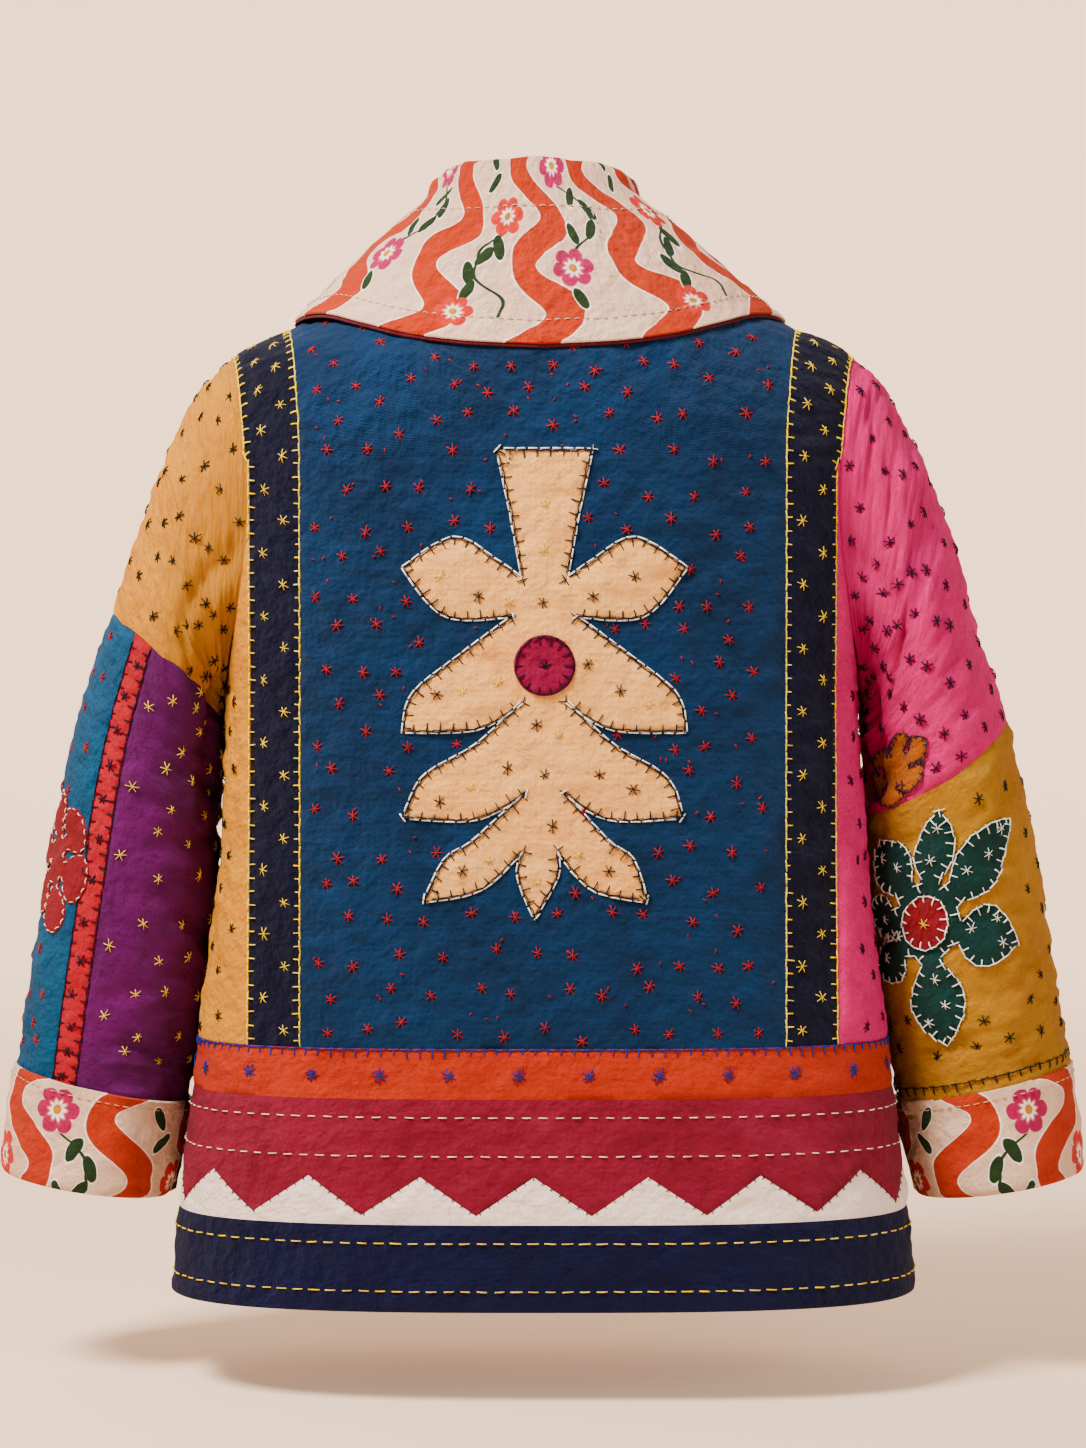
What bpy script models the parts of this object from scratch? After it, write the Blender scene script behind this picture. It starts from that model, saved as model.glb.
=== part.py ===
"""Quilted patchwork jacket in its worn form: the back faces -Y, the open front +Y, the hem lies below."""
import math

import bpy
import numpy as np
from mathutils import Vector
from mathutils.geometry import delaunay_2d_cdt

# Sizes in metres, heights counted from the hem
MOUNT_HEIGHT = 0.604
WALL = 0.0026
SEAM = 0.0003
ROUND_FROM = 0.530
ARMPIT = 0.385
WAIST = 0.1624
ORANGE_LOW = 0.131
WHITE_PEAK = 0.083
WHITE_VALLEY = 0.059
NAVY_TOP = 0.0533
ZIGZAG = 0.0715
ARMHOLE_SHARE = 0.68
ARMHOLE_DEEP = 0.085
ARMHOLE_LOW = 0.145
SQUARE = 3.0
ARCH = 2.3
FRONT_GAP = 0.007
NECK_HALF = 0.075

# Body sections: height, half width, depth of the back, depth of the front
SECTIONS = (
    (0.000, 0.2430, 0.132, 0.125),
    (0.057, 0.2372, 0.129, 0.123),
    (0.117, 0.2298, 0.127, 0.122),
    (0.165, 0.2250, 0.125, 0.121),
    (0.213, 0.2188, 0.124, 0.120),
    (0.270, 0.2123, 0.123, 0.120),
    (0.314, 0.2088, 0.122, 0.120),
    (0.385, 0.2060, 0.122, 0.119),
    (0.450, 0.2095, 0.124, 0.118),
    (0.530, 0.2140, 0.125, 0.115),
)
# Shoulder line: distance from the middle, height
SHOULDER = (
    (0.000, 0.668),
    (0.040, 0.665),
    (0.075, 0.657),
    (0.120, 0.641),
    (0.163, 0.624),
    (0.188, 0.613),
    (0.205, 0.604),
)
# Inner edge of the strips: height coordinate, distance from the middle
STRIP = ((0.000, 0.152), (0.385, 0.153), (0.530, 0.153), (0.900, 0.157), (1.200, 0.162), (1.530, 0.168))
# Outer edge of the strips below the shoulder
STRIP_OUTER = 0.1862
# Upper edge of the armhole: height coordinate, distance from the middle
ARM_EDGE = ((0.530, 0.1887), (0.900, 0.194), (1.200, 0.199), (1.530, 0.205))
# Sleeve rings: outer x, outer height, inner x, inner height, half depth, shift to the front
RINGS = (
    (0.2050, 0.604, 0.2060, 0.385, 0.0850, 0.000),
    (0.2225, 0.587, 0.2085, 0.380, 0.0840, 0.001),
    (0.2420, 0.552, 0.2092, 0.373, 0.0840, 0.002),
    (0.2620, 0.503, 0.2100, 0.362, 0.0820, 0.003),
    (0.2825, 0.440, 0.2110, 0.344, 0.0800, 0.005),
    (0.3035, 0.376, 0.2130, 0.314, 0.0770, 0.007),
    (0.3185, 0.312, 0.2165, 0.270, 0.0750, 0.009),
    (0.3315, 0.240, 0.2220, 0.213, 0.0720, 0.011),
    (0.3410, 0.182, 0.2295, 0.160, 0.0680, 0.012),
    (0.3460, 0.142, 0.2360, 0.117, 0.0650, 0.012),
    (0.3550, 0.075, 0.2490, 0.057, 0.0635, 0.013),
    (0.3640, 0.008, 0.2620, -0.003, 0.0620, 0.014),
)
# Sleeve folds: angle, ring, half angle, half length in rings, depth
FOLDS = (
    (128.0, 2.0, 9.0, 1.7, 0.0045),
    (232.0, 2.0, 9.0, 1.7, 0.0045),
    (148.0, 3.1, 8.0, 1.4, 0.0035),
    (160.0, 4.6, 30.0, 0.45, 0.0035),
    (205.0, 6.2, 28.0, 0.45, 0.0030),
)
# Seam between upper and lower sleeve: angle, ring
SEAM_LEFT = (
    (0, 4.05),
    (45, 3.95),
    (90, 3.65),
    (135, 2.9),
    (180, 2.4),
    (225, 2.9),
    (270, 3.65),
    (360, 4.05),
)
SEAM_RIGHT = ((0, 5.1), (90, 5.3), (180, 5.25), (270, 5.3), (360, 5.1))
CUFF_RING = 9.0
CUFF_HEIGHT = 0.067
RING_STEP = 0.0645
SLEEVE_END = 9.94

ROWS = [WAIST, 0.20, 0.24, 0.28, 0.32, 0.355]
ARM_ROWS = [ARMPIT, 0.3878, 0.394, 0.404, 0.42, 0.445, 0.475, 0.505, 0.53]
ARCH_ROWS = [0.65, 0.80, 0.95, 1.10, 1.24, 1.37, 1.46, 1.53]


def smooth(table, at, column=1):
    """A smooth curve through one column of a table, without overshoot."""
    data = np.asarray(table, float)
    xs, ys = data[:, 0], data[:, column]
    slope = np.diff(ys) / np.diff(xs)
    tangent = np.zeros_like(ys)
    tangent[0], tangent[-1] = slope[0], slope[-1]
    product = slope[:-1] * slope[1:]
    total = slope[:-1] + slope[1:]
    same = product > 0
    tangent[1:-1][same] = 2 * product[same] / total[same]
    at = np.clip(np.asarray(at, float), xs[0], xs[-1])
    i = np.clip(np.searchsorted(xs, at) - 1, 0, len(xs) - 2)
    step = xs[i + 1] - xs[i]
    t = (at - xs[i]) / step
    start = (1 + 2 * t) * (1 - t) ** 2 * ys[i] + t * (1 - t) ** 2 * step * tangent[i]
    end = t * t * (3 - 2 * t) * ys[i + 1] + t * t * (t - 1) * step * tangent[i + 1]
    return start + end


def arch_top(x, face):
    """How far round the shoulder the cloth reaches before the neck edge, from 0 to 1."""
    low = 0.624 if face < 0 else 0.19
    t = np.minimum(np.abs(x) / NECK_HALF, 1.0)
    return low + (1 - low) * (1 - np.sqrt(1 - t * t))


def body(x, q, face, cut=True):
    """Outer point of the body: x across, q the height, or above ROUND_FROM the way round the shoulder."""
    x, q = np.broadcast_arrays(np.asarray(x, float), np.asarray(q, float))
    wide = np.abs(x)
    way = np.clip(q - ROUND_FROM, 0, 1) * (arch_top(x, face) if cut else 1.0)
    angle = (1 - way) * math.pi / 2
    ridge = smooth(SHOULDER, wide)
    rise = np.maximum(np.cos(angle), 0) ** (2 / ARCH)
    z = np.where(q <= ROUND_FROM, q, ROUND_FROM + (ridge - ROUND_FROM) * rise)
    lift = np.sin(angle) ** (2 / ARCH)
    half = smooth(SECTIONS, np.minimum(z, ROUND_FROM))
    deep = smooth(SECTIONS, np.minimum(z, ROUND_FROM), 2 if face < 0 else 3)
    y = face * deep * (1 - np.minimum(wide / half, 1) ** SQUARE) ** (1 / SQUARE) * lift
    return np.stack([x, y, z], -1)


def flank(turn, z, side):
    """Outer point of the body round one side: turn 0 at the back's middle, 180 at the front's."""
    turn, z = np.broadcast_arrays(np.radians(np.asarray(turn, float)), np.asarray(z, float))
    half = smooth(SECTIONS, z)
    back, front = smooth(SECTIONS, z, 2), smooth(SECTIONS, z, 3)
    cosine = np.cos(turn)
    x = side * half * np.abs(np.sin(turn)) ** (2 / SQUARE)
    y = -np.sign(cosine) * np.where(cosine > 0, back, front) * np.abs(cosine) ** (2 / SQUARE)
    return np.stack([x, y, z], -1)


def turn_of(x, z):
    """The turn at which the back reaches a distance x from the middle."""
    return np.degrees(np.arcsin((np.abs(x) / smooth(SECTIONS, z)) ** (SQUARE / 2)))


def armhole_turn(z, face):
    """The turn, counted from the middle of its own face, at which the armhole cuts a section."""
    drop = np.clip((ROUND_FROM - z) / ARMHOLE_LOW, 0, 1)
    column = 2 if face < 0 else 3
    reach = ARMHOLE_SHARE * smooth(SECTIONS, ROUND_FROM, column) * (1 - drop**2.2) ** (1 / 2.2)
    deep = smooth(SECTIONS, z, column)
    return np.degrees(np.arccos(np.clip(reach / deep, 0, 1) ** (SQUARE / 2)))


def unit(v):
    return v / np.maximum(np.linalg.norm(v, axis=-1, keepdims=True), 1e-12)


def body_normals(points):
    """Normals of the body at given points, from the same surface a little to each side."""
    x, y, z = points[..., 0], points[..., 1], points[..., 2]
    face = np.where(y > 0, 1.0, -1.0)
    e = 1e-5

    def level(px, py, pz):
        half = smooth(SECTIONS, np.minimum(pz, ROUND_FROM))
        back = smooth(SECTIONS, np.minimum(pz, ROUND_FROM), 2)
        front = smooth(SECTIONS, np.minimum(pz, ROUND_FROM), 3)
        deep = np.where(face < 0, back, front)
        ridge = smooth(SHOULDER, np.abs(px))
        up = np.clip((pz - ROUND_FROM) / (ridge - ROUND_FROM), 0, 1.2)
        inside = np.clip(1 - (np.abs(px) / half) ** SQUARE, 0, None)
        return (np.abs(py) / deep) ** ARCH - inside ** (ARCH / SQUARE) * (1 - up**ARCH)

    widest = smooth(SECTIONS, np.minimum(z, ROUND_FROM)) - 2 * e
    near = np.where(np.abs(x) < widest, x, np.sign(x) * (np.abs(x) - 2 * e))
    gx = level(near + e, y, z) - level(near - e, y, z)
    gy = level(near, y + e, z) - level(near, y - e, z)
    gz = level(near, y, z + e) - level(near, y, z - e)
    return unit(np.stack([gx, gy, gz], -1))


def armhole_loop():
    """The right armhole's edge: from the shoulder down the back to the armpit and up the front."""
    halves = []
    for face in (-1, 1):
        half = []
        for q in reversed(ARCH_ROWS):
            half.append(body(smooth(ARM_EDGE, q), q, face))
        for z in reversed(ARM_ROWS):
            turn = armhole_turn(z, face)
            half.append(flank(turn if face < 0 else 180 - turn, z, 1))
        halves.append(np.array(half))
    return np.concatenate([halves[0], halves[1][-2:0:-1]])


LOOP = armhole_loop()
LOOP_MIDDLE = 0.4945
LOOP_HALF = 0.1095
LOOP_UP = (LOOP[:, 2] - LOOP_MIDDLE) / LOOP_HALF
LOOP_ANGLES = np.degrees(np.arctan2(-LOOP[:, 1] / ARMHOLE_DEEP, LOOP_UP)) % 360
LOOP_ANGLES[0] = 0.0
SPLITS = (62.0, 80.0, 180.0, 265.0, 354.0)
ANGLES = np.unique(np.round(np.concatenate([LOOP_ANGLES, SPLITS]), 6))
OWN_ANGLES = np.round(LOOP_ANGLES, 6)
ANGLES = [a for a in ANGLES if a in SPLITS or a in OWN_ANGLES or all(abs(a - s) > 2.5 for s in SPLITS)]
ANGLES = np.array(ANGLES)


def loop_at(angle, values):
    """Armhole values on the straight lines between its points."""
    order = np.argsort(LOOP_ANGLES)
    a = np.append(LOOP_ANGLES[order], 360.0)
    v = np.concatenate([values[order], values[order[:1]]])
    return np.stack([np.interp(np.asarray(angle) % 360, a, v[:, i]) for i in range(3)], -1)


def ring_value(k, column):
    table = [(i,) + row for i, row in enumerate(RINGS)]
    return smooth(table, k, column + 1)


def ring_middle(k):
    x = (ring_value(k, 0) + ring_value(k, 2)) / 2
    z = (ring_value(k, 1) + ring_value(k, 3)) / 2
    return np.stack([x, ring_value(k, 5), z], -1)


def ellipse(angle, k):
    """Point of the plain oval sleeve on the right side."""
    angle, k = np.broadcast_arrays(np.radians(np.asarray(angle, float)), np.asarray(k, float))
    ox, oz, ix, iz = (ring_value(k, c) for c in range(4))
    mx, mz = (ox + ix) / 2, (oz + iz) / 2
    c, s = np.cos(angle), np.sin(angle)
    x = mx + (ox - ix) / 2 * c
    z = mz + (oz - iz) / 2 * c
    y = ring_value(k, 5) - ring_value(k, 4) * s
    return np.stack([x, y, z], -1)


def fold_depth(angle, k):
    """How far the large folds sink at a place on the sleeve."""
    depth = 0.0
    for at, ring, wide, long, deep in FOLDS:
        off = (np.asarray(angle) - at + 180) % 360 - 180
        depth = depth + deep * np.exp(-((off / wide) ** 2) - ((k - ring) / long) ** 2)
    return depth


def sleeve(angle, k, side=1):
    """Outer point of the sleeve: angle 0 outside, 90 back, 180 towards the body; k counts the rings."""
    angle, k = np.broadcast_arrays(np.asarray(angle, float), np.asarray(k, float))
    start = loop_at(angle, LOOP)
    rest = start - ellipse(angle, 0.0)
    t = np.clip(k / 2.4, 0, 1)
    fade = (1 - t * t * (3 - 2 * t))[..., None]
    p = ellipse(angle, k) + rest * fade
    middle = ring_middle(k)
    p = p - unit(p - middle) * fold_depth(angle, k)[..., None] * np.clip(k / 0.6, 0, 1)[..., None]
    return p * np.array([side, 1, 1])


def sleeve_normals(angle, k, side=1):
    e, f = 0.5, 0.02
    angle, k = np.broadcast_arrays(np.asarray(angle, float), np.asarray(k, float))
    low, high = np.maximum(k - f, 0), k + f
    round_it = sleeve(angle + e, k) - sleeve(angle - e, k)
    n = unit(np.cross(round_it, sleeve(angle, high) - sleeve(angle, low)))
    middle = ring_middle(k)
    n = np.where((n * (sleeve(angle, k) - middle)).sum(-1, keepdims=True) < 0, -n, n)
    return n * np.array([side, 1, 1])


class Cloth:
    """Outer points of one piece and its faces; thickened inwards to a closed wall."""

    def __init__(self):
        self.index, self.points, self.normals, self.faces = {}, [], [], []

    def vertex(self, point, normal):
        key = tuple(np.round(point, 7) + 0.0)
        if key not in self.index:
            self.index[key] = len(self.points)
            self.points.append(np.asarray(point))
            self.normals.append(np.asarray(normal))
        return self.index[key]

    def grid(self, points, normals, closed=False):
        rows, columns = points.shape[:2]
        ids = [[self.vertex(points[r, c], normals[r, c]) for c in range(columns)] for r in range(rows)]
        for r in range(rows - 1):
            for c in range(columns if closed else columns - 1):
                d = (c + 1) % columns
                first = (ids[r][c], ids[r][d], ids[r + 1][d])
                second = (ids[r][c], ids[r + 1][d], ids[r + 1][c])
                for face in (first, second):
                    if len(set(face)) == 3:
                        self.faces.append(face)
        return self

    def solid(self, wall):
        """Both layers and the edge between them."""
        outer = np.array(self.points)
        inner = outer - np.array(self.normals) * wall
        count = len(outer)
        edges = {}
        for face in self.faces:
            for i in range(3):
                edges[(face[i], face[(i + 1) % 3])] = True
        rim = [e for e in edges if (e[1], e[0]) not in edges]
        faces = list(self.faces) + [(a + count, c + count, b + count) for a, b, c in self.faces]
        for a, b in rim:
            faces.append((b, a, a + count))
            faces.append((b, a + count, b + count))
        return np.concatenate([outer, inner]), faces


def add(name, points, faces, colour, rough=0.9):
    """Makes the named object, its faces turned outwards."""
    points = np.asarray(points, float) - np.array([0, 0, MOUNT_HEIGHT])
    corners = points[np.array(faces)]
    volume = np.einsum("ij,ij->i", corners[:, 0], np.cross(corners[:, 1], corners[:, 2])).sum()
    if volume < 0:
        faces = [tuple(reversed(f)) for f in faces]
    mesh = bpy.data.meshes.new(name)
    mesh.from_pydata([tuple(p) for p in points], [], [tuple(int(i) for i in f) for f in faces])
    mesh.update()
    material = bpy.data.materials.new(name + "_cloth")
    material.use_nodes = True
    shader = material.node_tree.nodes["Principled BSDF"]
    shader.inputs["Base Color"].default_value = colour + (1.0,)
    shader.inputs["Roughness"].default_value = rough
    mesh.materials.append(material)
    ob = bpy.data.objects.new(name, mesh)
    bpy.context.scene.collection.objects.link(ob)


def mirror(points, side):
    return points * np.array([side, 1, 1])


def back_grid(name, colour):
    """Centre back from strip to strip and from the waist to the neck."""
    rows = [ROWS[0] + SEAM / 2] + ROWS[1:] + [ARM_ROWS[0]] + ARM_ROWS[4:] + ARCH_ROWS
    points = []
    for q in rows:
        edge = smooth(STRIP, q, 1) - SEAM / 2
        neck = np.array([-1, -0.93, -0.8, -0.62, -0.31, 0, 0.31, 0.62, 0.8, 0.93, 1]) * NECK_HALF
        plain = np.array([-1, -0.84, -0.67, -0.5, -0.25, 0, 0.25, 0.5, 0.67, 0.84, 1]) * edge
        t = np.clip((q - 0.8) / 0.5, 0, 1)
        outer = np.array([-edge, -0.5 * (edge + NECK_HALF)])
        wide = np.concatenate([outer, neck, -outer[::-1]])
        even = np.interp(np.linspace(0, 10, 15), np.arange(11), plain)
        points.append(body(even * (1 - t) + wide * t, q, -1))
    points = np.array(points)
    points[-1, :, 1] -= SEAM / 2
    cloth = Cloth().grid(points, body_normals(points))
    add(name, *cloth.solid(WALL), colour)


def front_grid(name, side, colour):
    """One front, from the strip to the open middle edge."""
    rows = [ROWS[0] + SEAM / 2] + ROWS[1:] + [ARM_ROWS[0]] + ARM_ROWS[4:] + ARCH_ROWS
    points = []
    for q in rows:
        edge = smooth(STRIP, q, 1) - SEAM / 2
        plain = np.linspace(FRONT_GAP, edge, 8)
        neck = np.array([FRONT_GAP, 0.024, 0.045, 0.06, 0.07, NECK_HALF, 0.5 * (edge + NECK_HALF), edge])
        t = np.clip((q - 0.8) / 0.5, 0, 1)
        points.append(body((plain * (1 - t) + neck * t), q, 1))
    points = np.array(points)
    points[-1, :, 1] += SEAM / 2
    normals = body_normals(points)
    cloth = Cloth().grid(mirror(points, side), mirror(normals, side))
    add(name, *cloth.solid(WALL), colour)


def strip_grid(name, side, colour):
    """The strip from the back waist over the shoulder to the front waist."""
    rows = [ROWS[0] + SEAM / 2] + ROWS[1:] + ARM_ROWS[:-1]
    rows += [ROUND_FROM - SEAM / 2, ROUND_FROM + 0.0005] + ARCH_ROWS
    points = []
    for face, order in ((-1, rows), (1, rows[-2::-1])):
        for q in order:
            inner = smooth(STRIP, q, 1) + SEAM / 2
            outer = smooth(ARM_EDGE, q) if q > ROUND_FROM else STRIP_OUTER - SEAM / 2
            points.append(body(np.array([inner, 0.5 * (inner + outer), outer]), q, face))
    points = np.array(points)
    normals = body_normals(points)
    cloth = Cloth().grid(mirror(points, side), mirror(normals, side))
    add(name, *cloth.solid(WALL), colour)


def side_grid(name, side, colour):
    """The panel under the arm, with the lower half of the armhole."""
    rows = [ROWS[0] + SEAM / 2] + ROWS[1:] + ARM_ROWS[:-1] + [ROUND_FROM - SEAM / 2]
    cloth = Cloth()
    for face in (-1, 1):
        points = []
        for z in rows:
            edge = STRIP_OUTER + SEAM / 2
            start = turn_of(edge, z)
            end = armhole_turn(z, face) if z > ARMPIT else 90.0
            turns = np.linspace(start, end, 5)
            points.append(flank(turns if face < 0 else 180 - turns, z, 1))
        points = np.array(points)
        normals = body_normals(points)
        if face > 0:
            points, normals = points[:, ::-1], normals[:, ::-1]
        cloth.grid(mirror(points, side), mirror(normals, side))
    add(name, *cloth.solid(WALL), colour)


def zigzag(s):
    """Height of the zigzag seam at a distance s round from the middle of the back."""
    t = ((s + 0.0056) / ZIGZAG) % 1.0
    return WHITE_VALLEY + (WHITE_PEAK - WHITE_VALLEY) * abs(1 - 2 * t)


def girth_turns(z, spots):
    """Turns at given distances round the section from the middle of the back."""
    turns = np.linspace(0, 180, 721)
    line = flank(turns, z, 1)
    lengths = np.concatenate([[0], np.cumsum(np.linalg.norm(np.diff(line, axis=0), axis=1))])
    return np.interp(np.abs(spots), lengths, turns), lengths[-1]


def band(name, low, high, colour, rows):
    """A band round the whole body from one front edge to the other."""
    middle = 0.5 * (WHITE_PEAK + WHITE_VALLEY)
    _, total = girth_turns(middle, np.array([0.0]))
    end_turn = 180 - turn_of(FRONT_GAP, middle)
    end = girth_turns(middle, np.array([0.0]))[1] - FRONT_GAP
    spots = [-0.0056 + ZIGZAG * 0.5 * i for i in range(-30, 31)]
    spots = [s for s in spots if abs(s) < end - 0.012]
    spots = np.array([-end] + spots + [end])
    turns = girth_turns(middle, spots)[0]
    turns[0] = turns[-1] = end_turn
    sides = np.where(spots < 0, -1.0, 1.0)
    points = []
    for t in np.linspace(0, 1, rows):
        z = np.array([low(s) * (1 - t) + high(s) * t for s in spots])
        line = flank(turns, z, 1)
        line[:, 0] *= sides
        line[0, 0], line[-1, 0] = -FRONT_GAP, FRONT_GAP
        points.append(line)
    points = np.array(points)
    cloth = Cloth().grid(points, body_normals(points))
    add(name, *cloth.solid(WALL), colour)


def sleeve_grid(name, side, colour, angles, low, high, rows, start=False):
    """Part of a sleeve between two rings or seams, over a range of angles."""
    closed = len(angles) > 3 and abs((angles[-1] - angles[0]) % 360) > 1e-6 and angles[-1] - angles[0] > 340
    points, normals = [], []
    for t in np.linspace(0, 1, rows):
        k = low(angles) * (1 - t) + high(angles) * t
        points.append(sleeve(angles, k))
        normals.append(sleeve_normals(angles, k))
    points, normals = np.array(points), np.array(normals)
    if start:
        edge = body_normals(LOOP)
        along = np.roll(LOOP, -1, axis=0) - np.roll(LOOP, 1, axis=0)
        away = unit(np.cross(edge, along))
        if away[LOOP_ANGLES.searchsorted(90)][0] < 0:
            away = -away
        body_side = unit(loop_at(angles, edge))
        leave = unit(loop_at(angles, away))
        off = np.abs((angles + 180) % 360 - 180)
        t = np.clip((off - 90) / 60, 0, 1)
        own = (t * t * (3 - 2 * t))[:, None]
        points[0] += leave * SEAM * 1.2 + body_side * own * 0.0010
        normals[0] = unit(body_side * (1 - own) + normals[0] * own)
    cloth = Cloth().grid(mirror(points, side), mirror(normals, side), closed)
    add(name, *cloth.solid(WALL), colour)


def level(value):
    return lambda angles: np.full(len(angles), float(value))


def seam(table, way):
    """A seam's ring at each angle, moved half a seam's width up (-1) or down (1)."""

    def at(angles):
        k = np.interp(np.asarray(angles) % 360, [r[0] for r in table], [r[1] for r in table])
        local = np.linalg.norm(sleeve(angles, k + 0.05) - sleeve(angles, k - 0.05), axis=-1) / 0.1
        return k + way * 0.75 * SEAM / local

    return at


def between(start, end, inset):
    """The sleeve's angles from one seam to the next, with half a seam left off at each side."""
    if end < start:
        end += 360
    loose = np.concatenate([ANGLES, ANGLES + 360])
    inner = loose[(loose > start + 1) & (loose < end - 1)]
    return np.concatenate([[start + inset], inner, [end - inset]])


def cuff(name, side, colour):
    """A turned-up cuff: one band outside the sleeve's end, folded round it to the inside."""
    tall, out, mid = CUFF_HEIGHT, 0.0037, 0.0012
    section = [
        (-0.0006, 0.0024), (0.0006, out), (tall * 0.5, out + 0.0006), (tall - 0.003, out), (tall, 0.0014),
        (tall, -0.0038), (tall - 0.003, -0.0056), (tall - 0.024, -0.0056), (tall - 0.024, -0.0034),
        (tall - 0.0042, -0.0034), (tall - 0.0030, -0.0026), (tall - 0.0030, 0.0002), (tall - 0.0045, mid),
        (tall * 0.5, mid), (0.0, mid),
    ]
    angles = np.arange(0, 360, 12.0)
    rings = []
    for along, off in section:
        k = np.full(len(angles), CUFF_RING + along / RING_STEP)
        rings.append(sleeve(angles, k) + sleeve_normals(angles, k) * off)
    rings = np.array(rings)
    count, columns = rings.shape[:2]
    faces = []
    for r in range(count):
        s = (r + 1) % count
        for c in range(columns):
            d = (c + 1) % columns
            faces.append((r * columns + c, r * columns + d, s * columns + d))
            faces.append((r * columns + c, s * columns + d, s * columns + c))
    add(name, mirror(rings.reshape(-1, 3), side), faces, colour)


COLLAR_SHIFT = -0.006
COLLAR_END = 163.0
# Collar: angle from the back's middle, place of its free edge on the body, height and lean of its stand
COLLAR = (
    (0.0, 0.836, 0.080, -0.013),
    (15.0, 0.856, 0.079, -0.013),
    (30.0, 0.918, 0.076, -0.013),
    (45.0, 1.050, 0.072, -0.013),
    (60.0, 1.240, 0.067, -0.012),
    (75.0, 1.410, 0.061, -0.011),
    (90.0, 1.530, 0.056, -0.010),
    (105.0, 1.360, 0.052, -0.008),
    (120.0, 1.130, 0.046, -0.004),
    (135.0, 0.920, 0.038, 0.002),
    (150.0, 0.700, 0.030, 0.007),
    (COLLAR_END, 0.500, 0.024, 0.010),
)
COLLAR_HALF = 0.160
COLLAR_CLEAR = 0.0056


def body_depth(x, z, face):
    """Depth of the body's outer face at a place seen from the front or back."""
    wide = np.abs(x)
    low = np.minimum(z, ROUND_FROM)
    deep = smooth(SECTIONS, low, 2 if face < 0 else 3)
    ridge = smooth(SHOULDER, wide)
    up = np.clip((z - ROUND_FROM) / (ridge - ROUND_FROM), 0, 1)
    flat = (1 - np.minimum(wide / smooth(SECTIONS, low), 1) ** SQUARE) ** (1 / SQUARE)
    return deep * flat * (1 - up**ARCH) ** (1 / ARCH)


def collar_path(turn):
    """Outer face of the folded collar from its free edge over the fold to the neck."""
    side = 1.0 if turn >= 0 else -1.0
    way = abs(turn)
    face = -1 if way <= 90 else 1
    s, c = math.sin(math.radians(way)), math.cos(math.radians(way))
    lying = body(np.array([COLLAR_HALF * s]), float(smooth(COLLAR, way)), face, False)
    edge = (lying + body_normals(lying) * COLLAR_CLEAR)[0]
    neck = body(np.array([NECK_HALF * s]), ROUND_FROM + 1, face)[0] + np.array([0, 0, 0.0012])
    out = np.array([s, -c, 0.0])
    tall, lean = float(smooth(COLLAR, way, 2)), float(smooth(COLLAR, way, 3))
    fold = neck + out * lean + np.array([0, 0, tall])
    drop = fold - np.array([0, 0, 0.008]) + out * 0.0060
    rise = fold - np.array([0, 0, 0.008]) - out * 0.0060
    path = [edge, edge * 0.67 + drop * 0.33, edge * 0.33 + drop * 0.67, drop]
    below = fold - np.array([0, 0, 0.0018])
    path += [below + out * 0.0045, fold, below - out * 0.0045]
    path += [rise, 0.5 * rise + 0.5 * neck, neck]
    return np.array(path) * np.array([side, 1, 1])


def collar_layers():
    """Upper collar on the outside of the fold, under collar inside it."""
    turns = np.concatenate([[-COLLAR_END], np.arange(-150, 151, 10.0), [COLLAR_END]])
    grid = np.array([collar_path(t) for t in turns]).transpose(1, 0, 2)
    across = np.gradient(grid, axis=1)
    down = np.gradient(grid, axis=0)
    n = unit(np.cross(across, down))
    middle = grid[3].mean(axis=0)
    if (n[0, len(turns) // 2] * (grid[0, len(turns) // 2] - middle)).sum() < 0:
        n = -n
    shift = np.zeros(3)
    share = np.clip((grid[..., 2:3] - 0.60) / 0.10, 0.3, 1)
    shift[0] = COLLAR_SHIFT
    top = 0.0018
    layers = (
        ("collar", 0.0, top, (0.80, 0.73, 0.64)),
        ("under_collar", top + SEAM, 0.0013, (0.30, 0.03, 0.05)),
    )
    for name, lift, wall, colour in layers:
        points = grid - n * lift
        if lift:
            fall = unit(grid[0] - grid[1])
            points[0] = points[0] + fall * 0.0018
        cloth = Cloth().grid(points + shift * share, n)
        add(name, *cloth.solid(wall), colour)


def spline(path, steps):
    """A smooth line through the given flat points."""
    p = np.array([path[0]] + list(path) + [path[-1]], float)
    out = []
    for i in range(1, len(p) - 2):
        for t in np.arange(steps) / steps:
            a = 2 * p[i] + (p[i + 1] - p[i - 1]) * t
            b = (2 * p[i - 1] - 5 * p[i] + 4 * p[i + 1] - p[i + 2]) * t**2
            c = (3 * p[i] - p[i - 1] - 3 * p[i + 1] + p[i + 2]) * t**3
            out.append(0.5 * (a + b + c))
    return out


# Leaf pairs of the spray, right half: points out along the upper edge to the tip, then back to the notch
LEAVES = (
    (
        ((0.0132, 0.4540), (0.0297, 0.4658), (0.0563, 0.4801), (0.0880, 0.4619)),
        ((0.0613, 0.4322), (0.0184, 0.4322)),
    ),
    (
        ((0.0184, 0.4322), (0.0534, 0.4065), (0.0820, 0.3828), (0.0880, 0.3600)),
        ((0.0415, 0.3620), (0.0132, 0.3788)),
    ),
    (
        ((0.0132, 0.3788), (0.0415, 0.3521), (0.0751, 0.3314), (0.0865, 0.3067)),
        ((0.0415, 0.3057), (0.0109, 0.3225)),
    ),
    (
        ((0.0109, 0.3225), (0.0415, 0.2918), (0.0581, 0.2800), (0.0690, 0.2543)),
        ((0.0346, 0.2622), (0.0099, 0.2870)),
    ),
)
BUD = ((0.0099, 0.2870), (0.0119, 0.2700), (0.0, 0.2443))
STEM_TOP = (0.0290, 0.5350)
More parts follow.
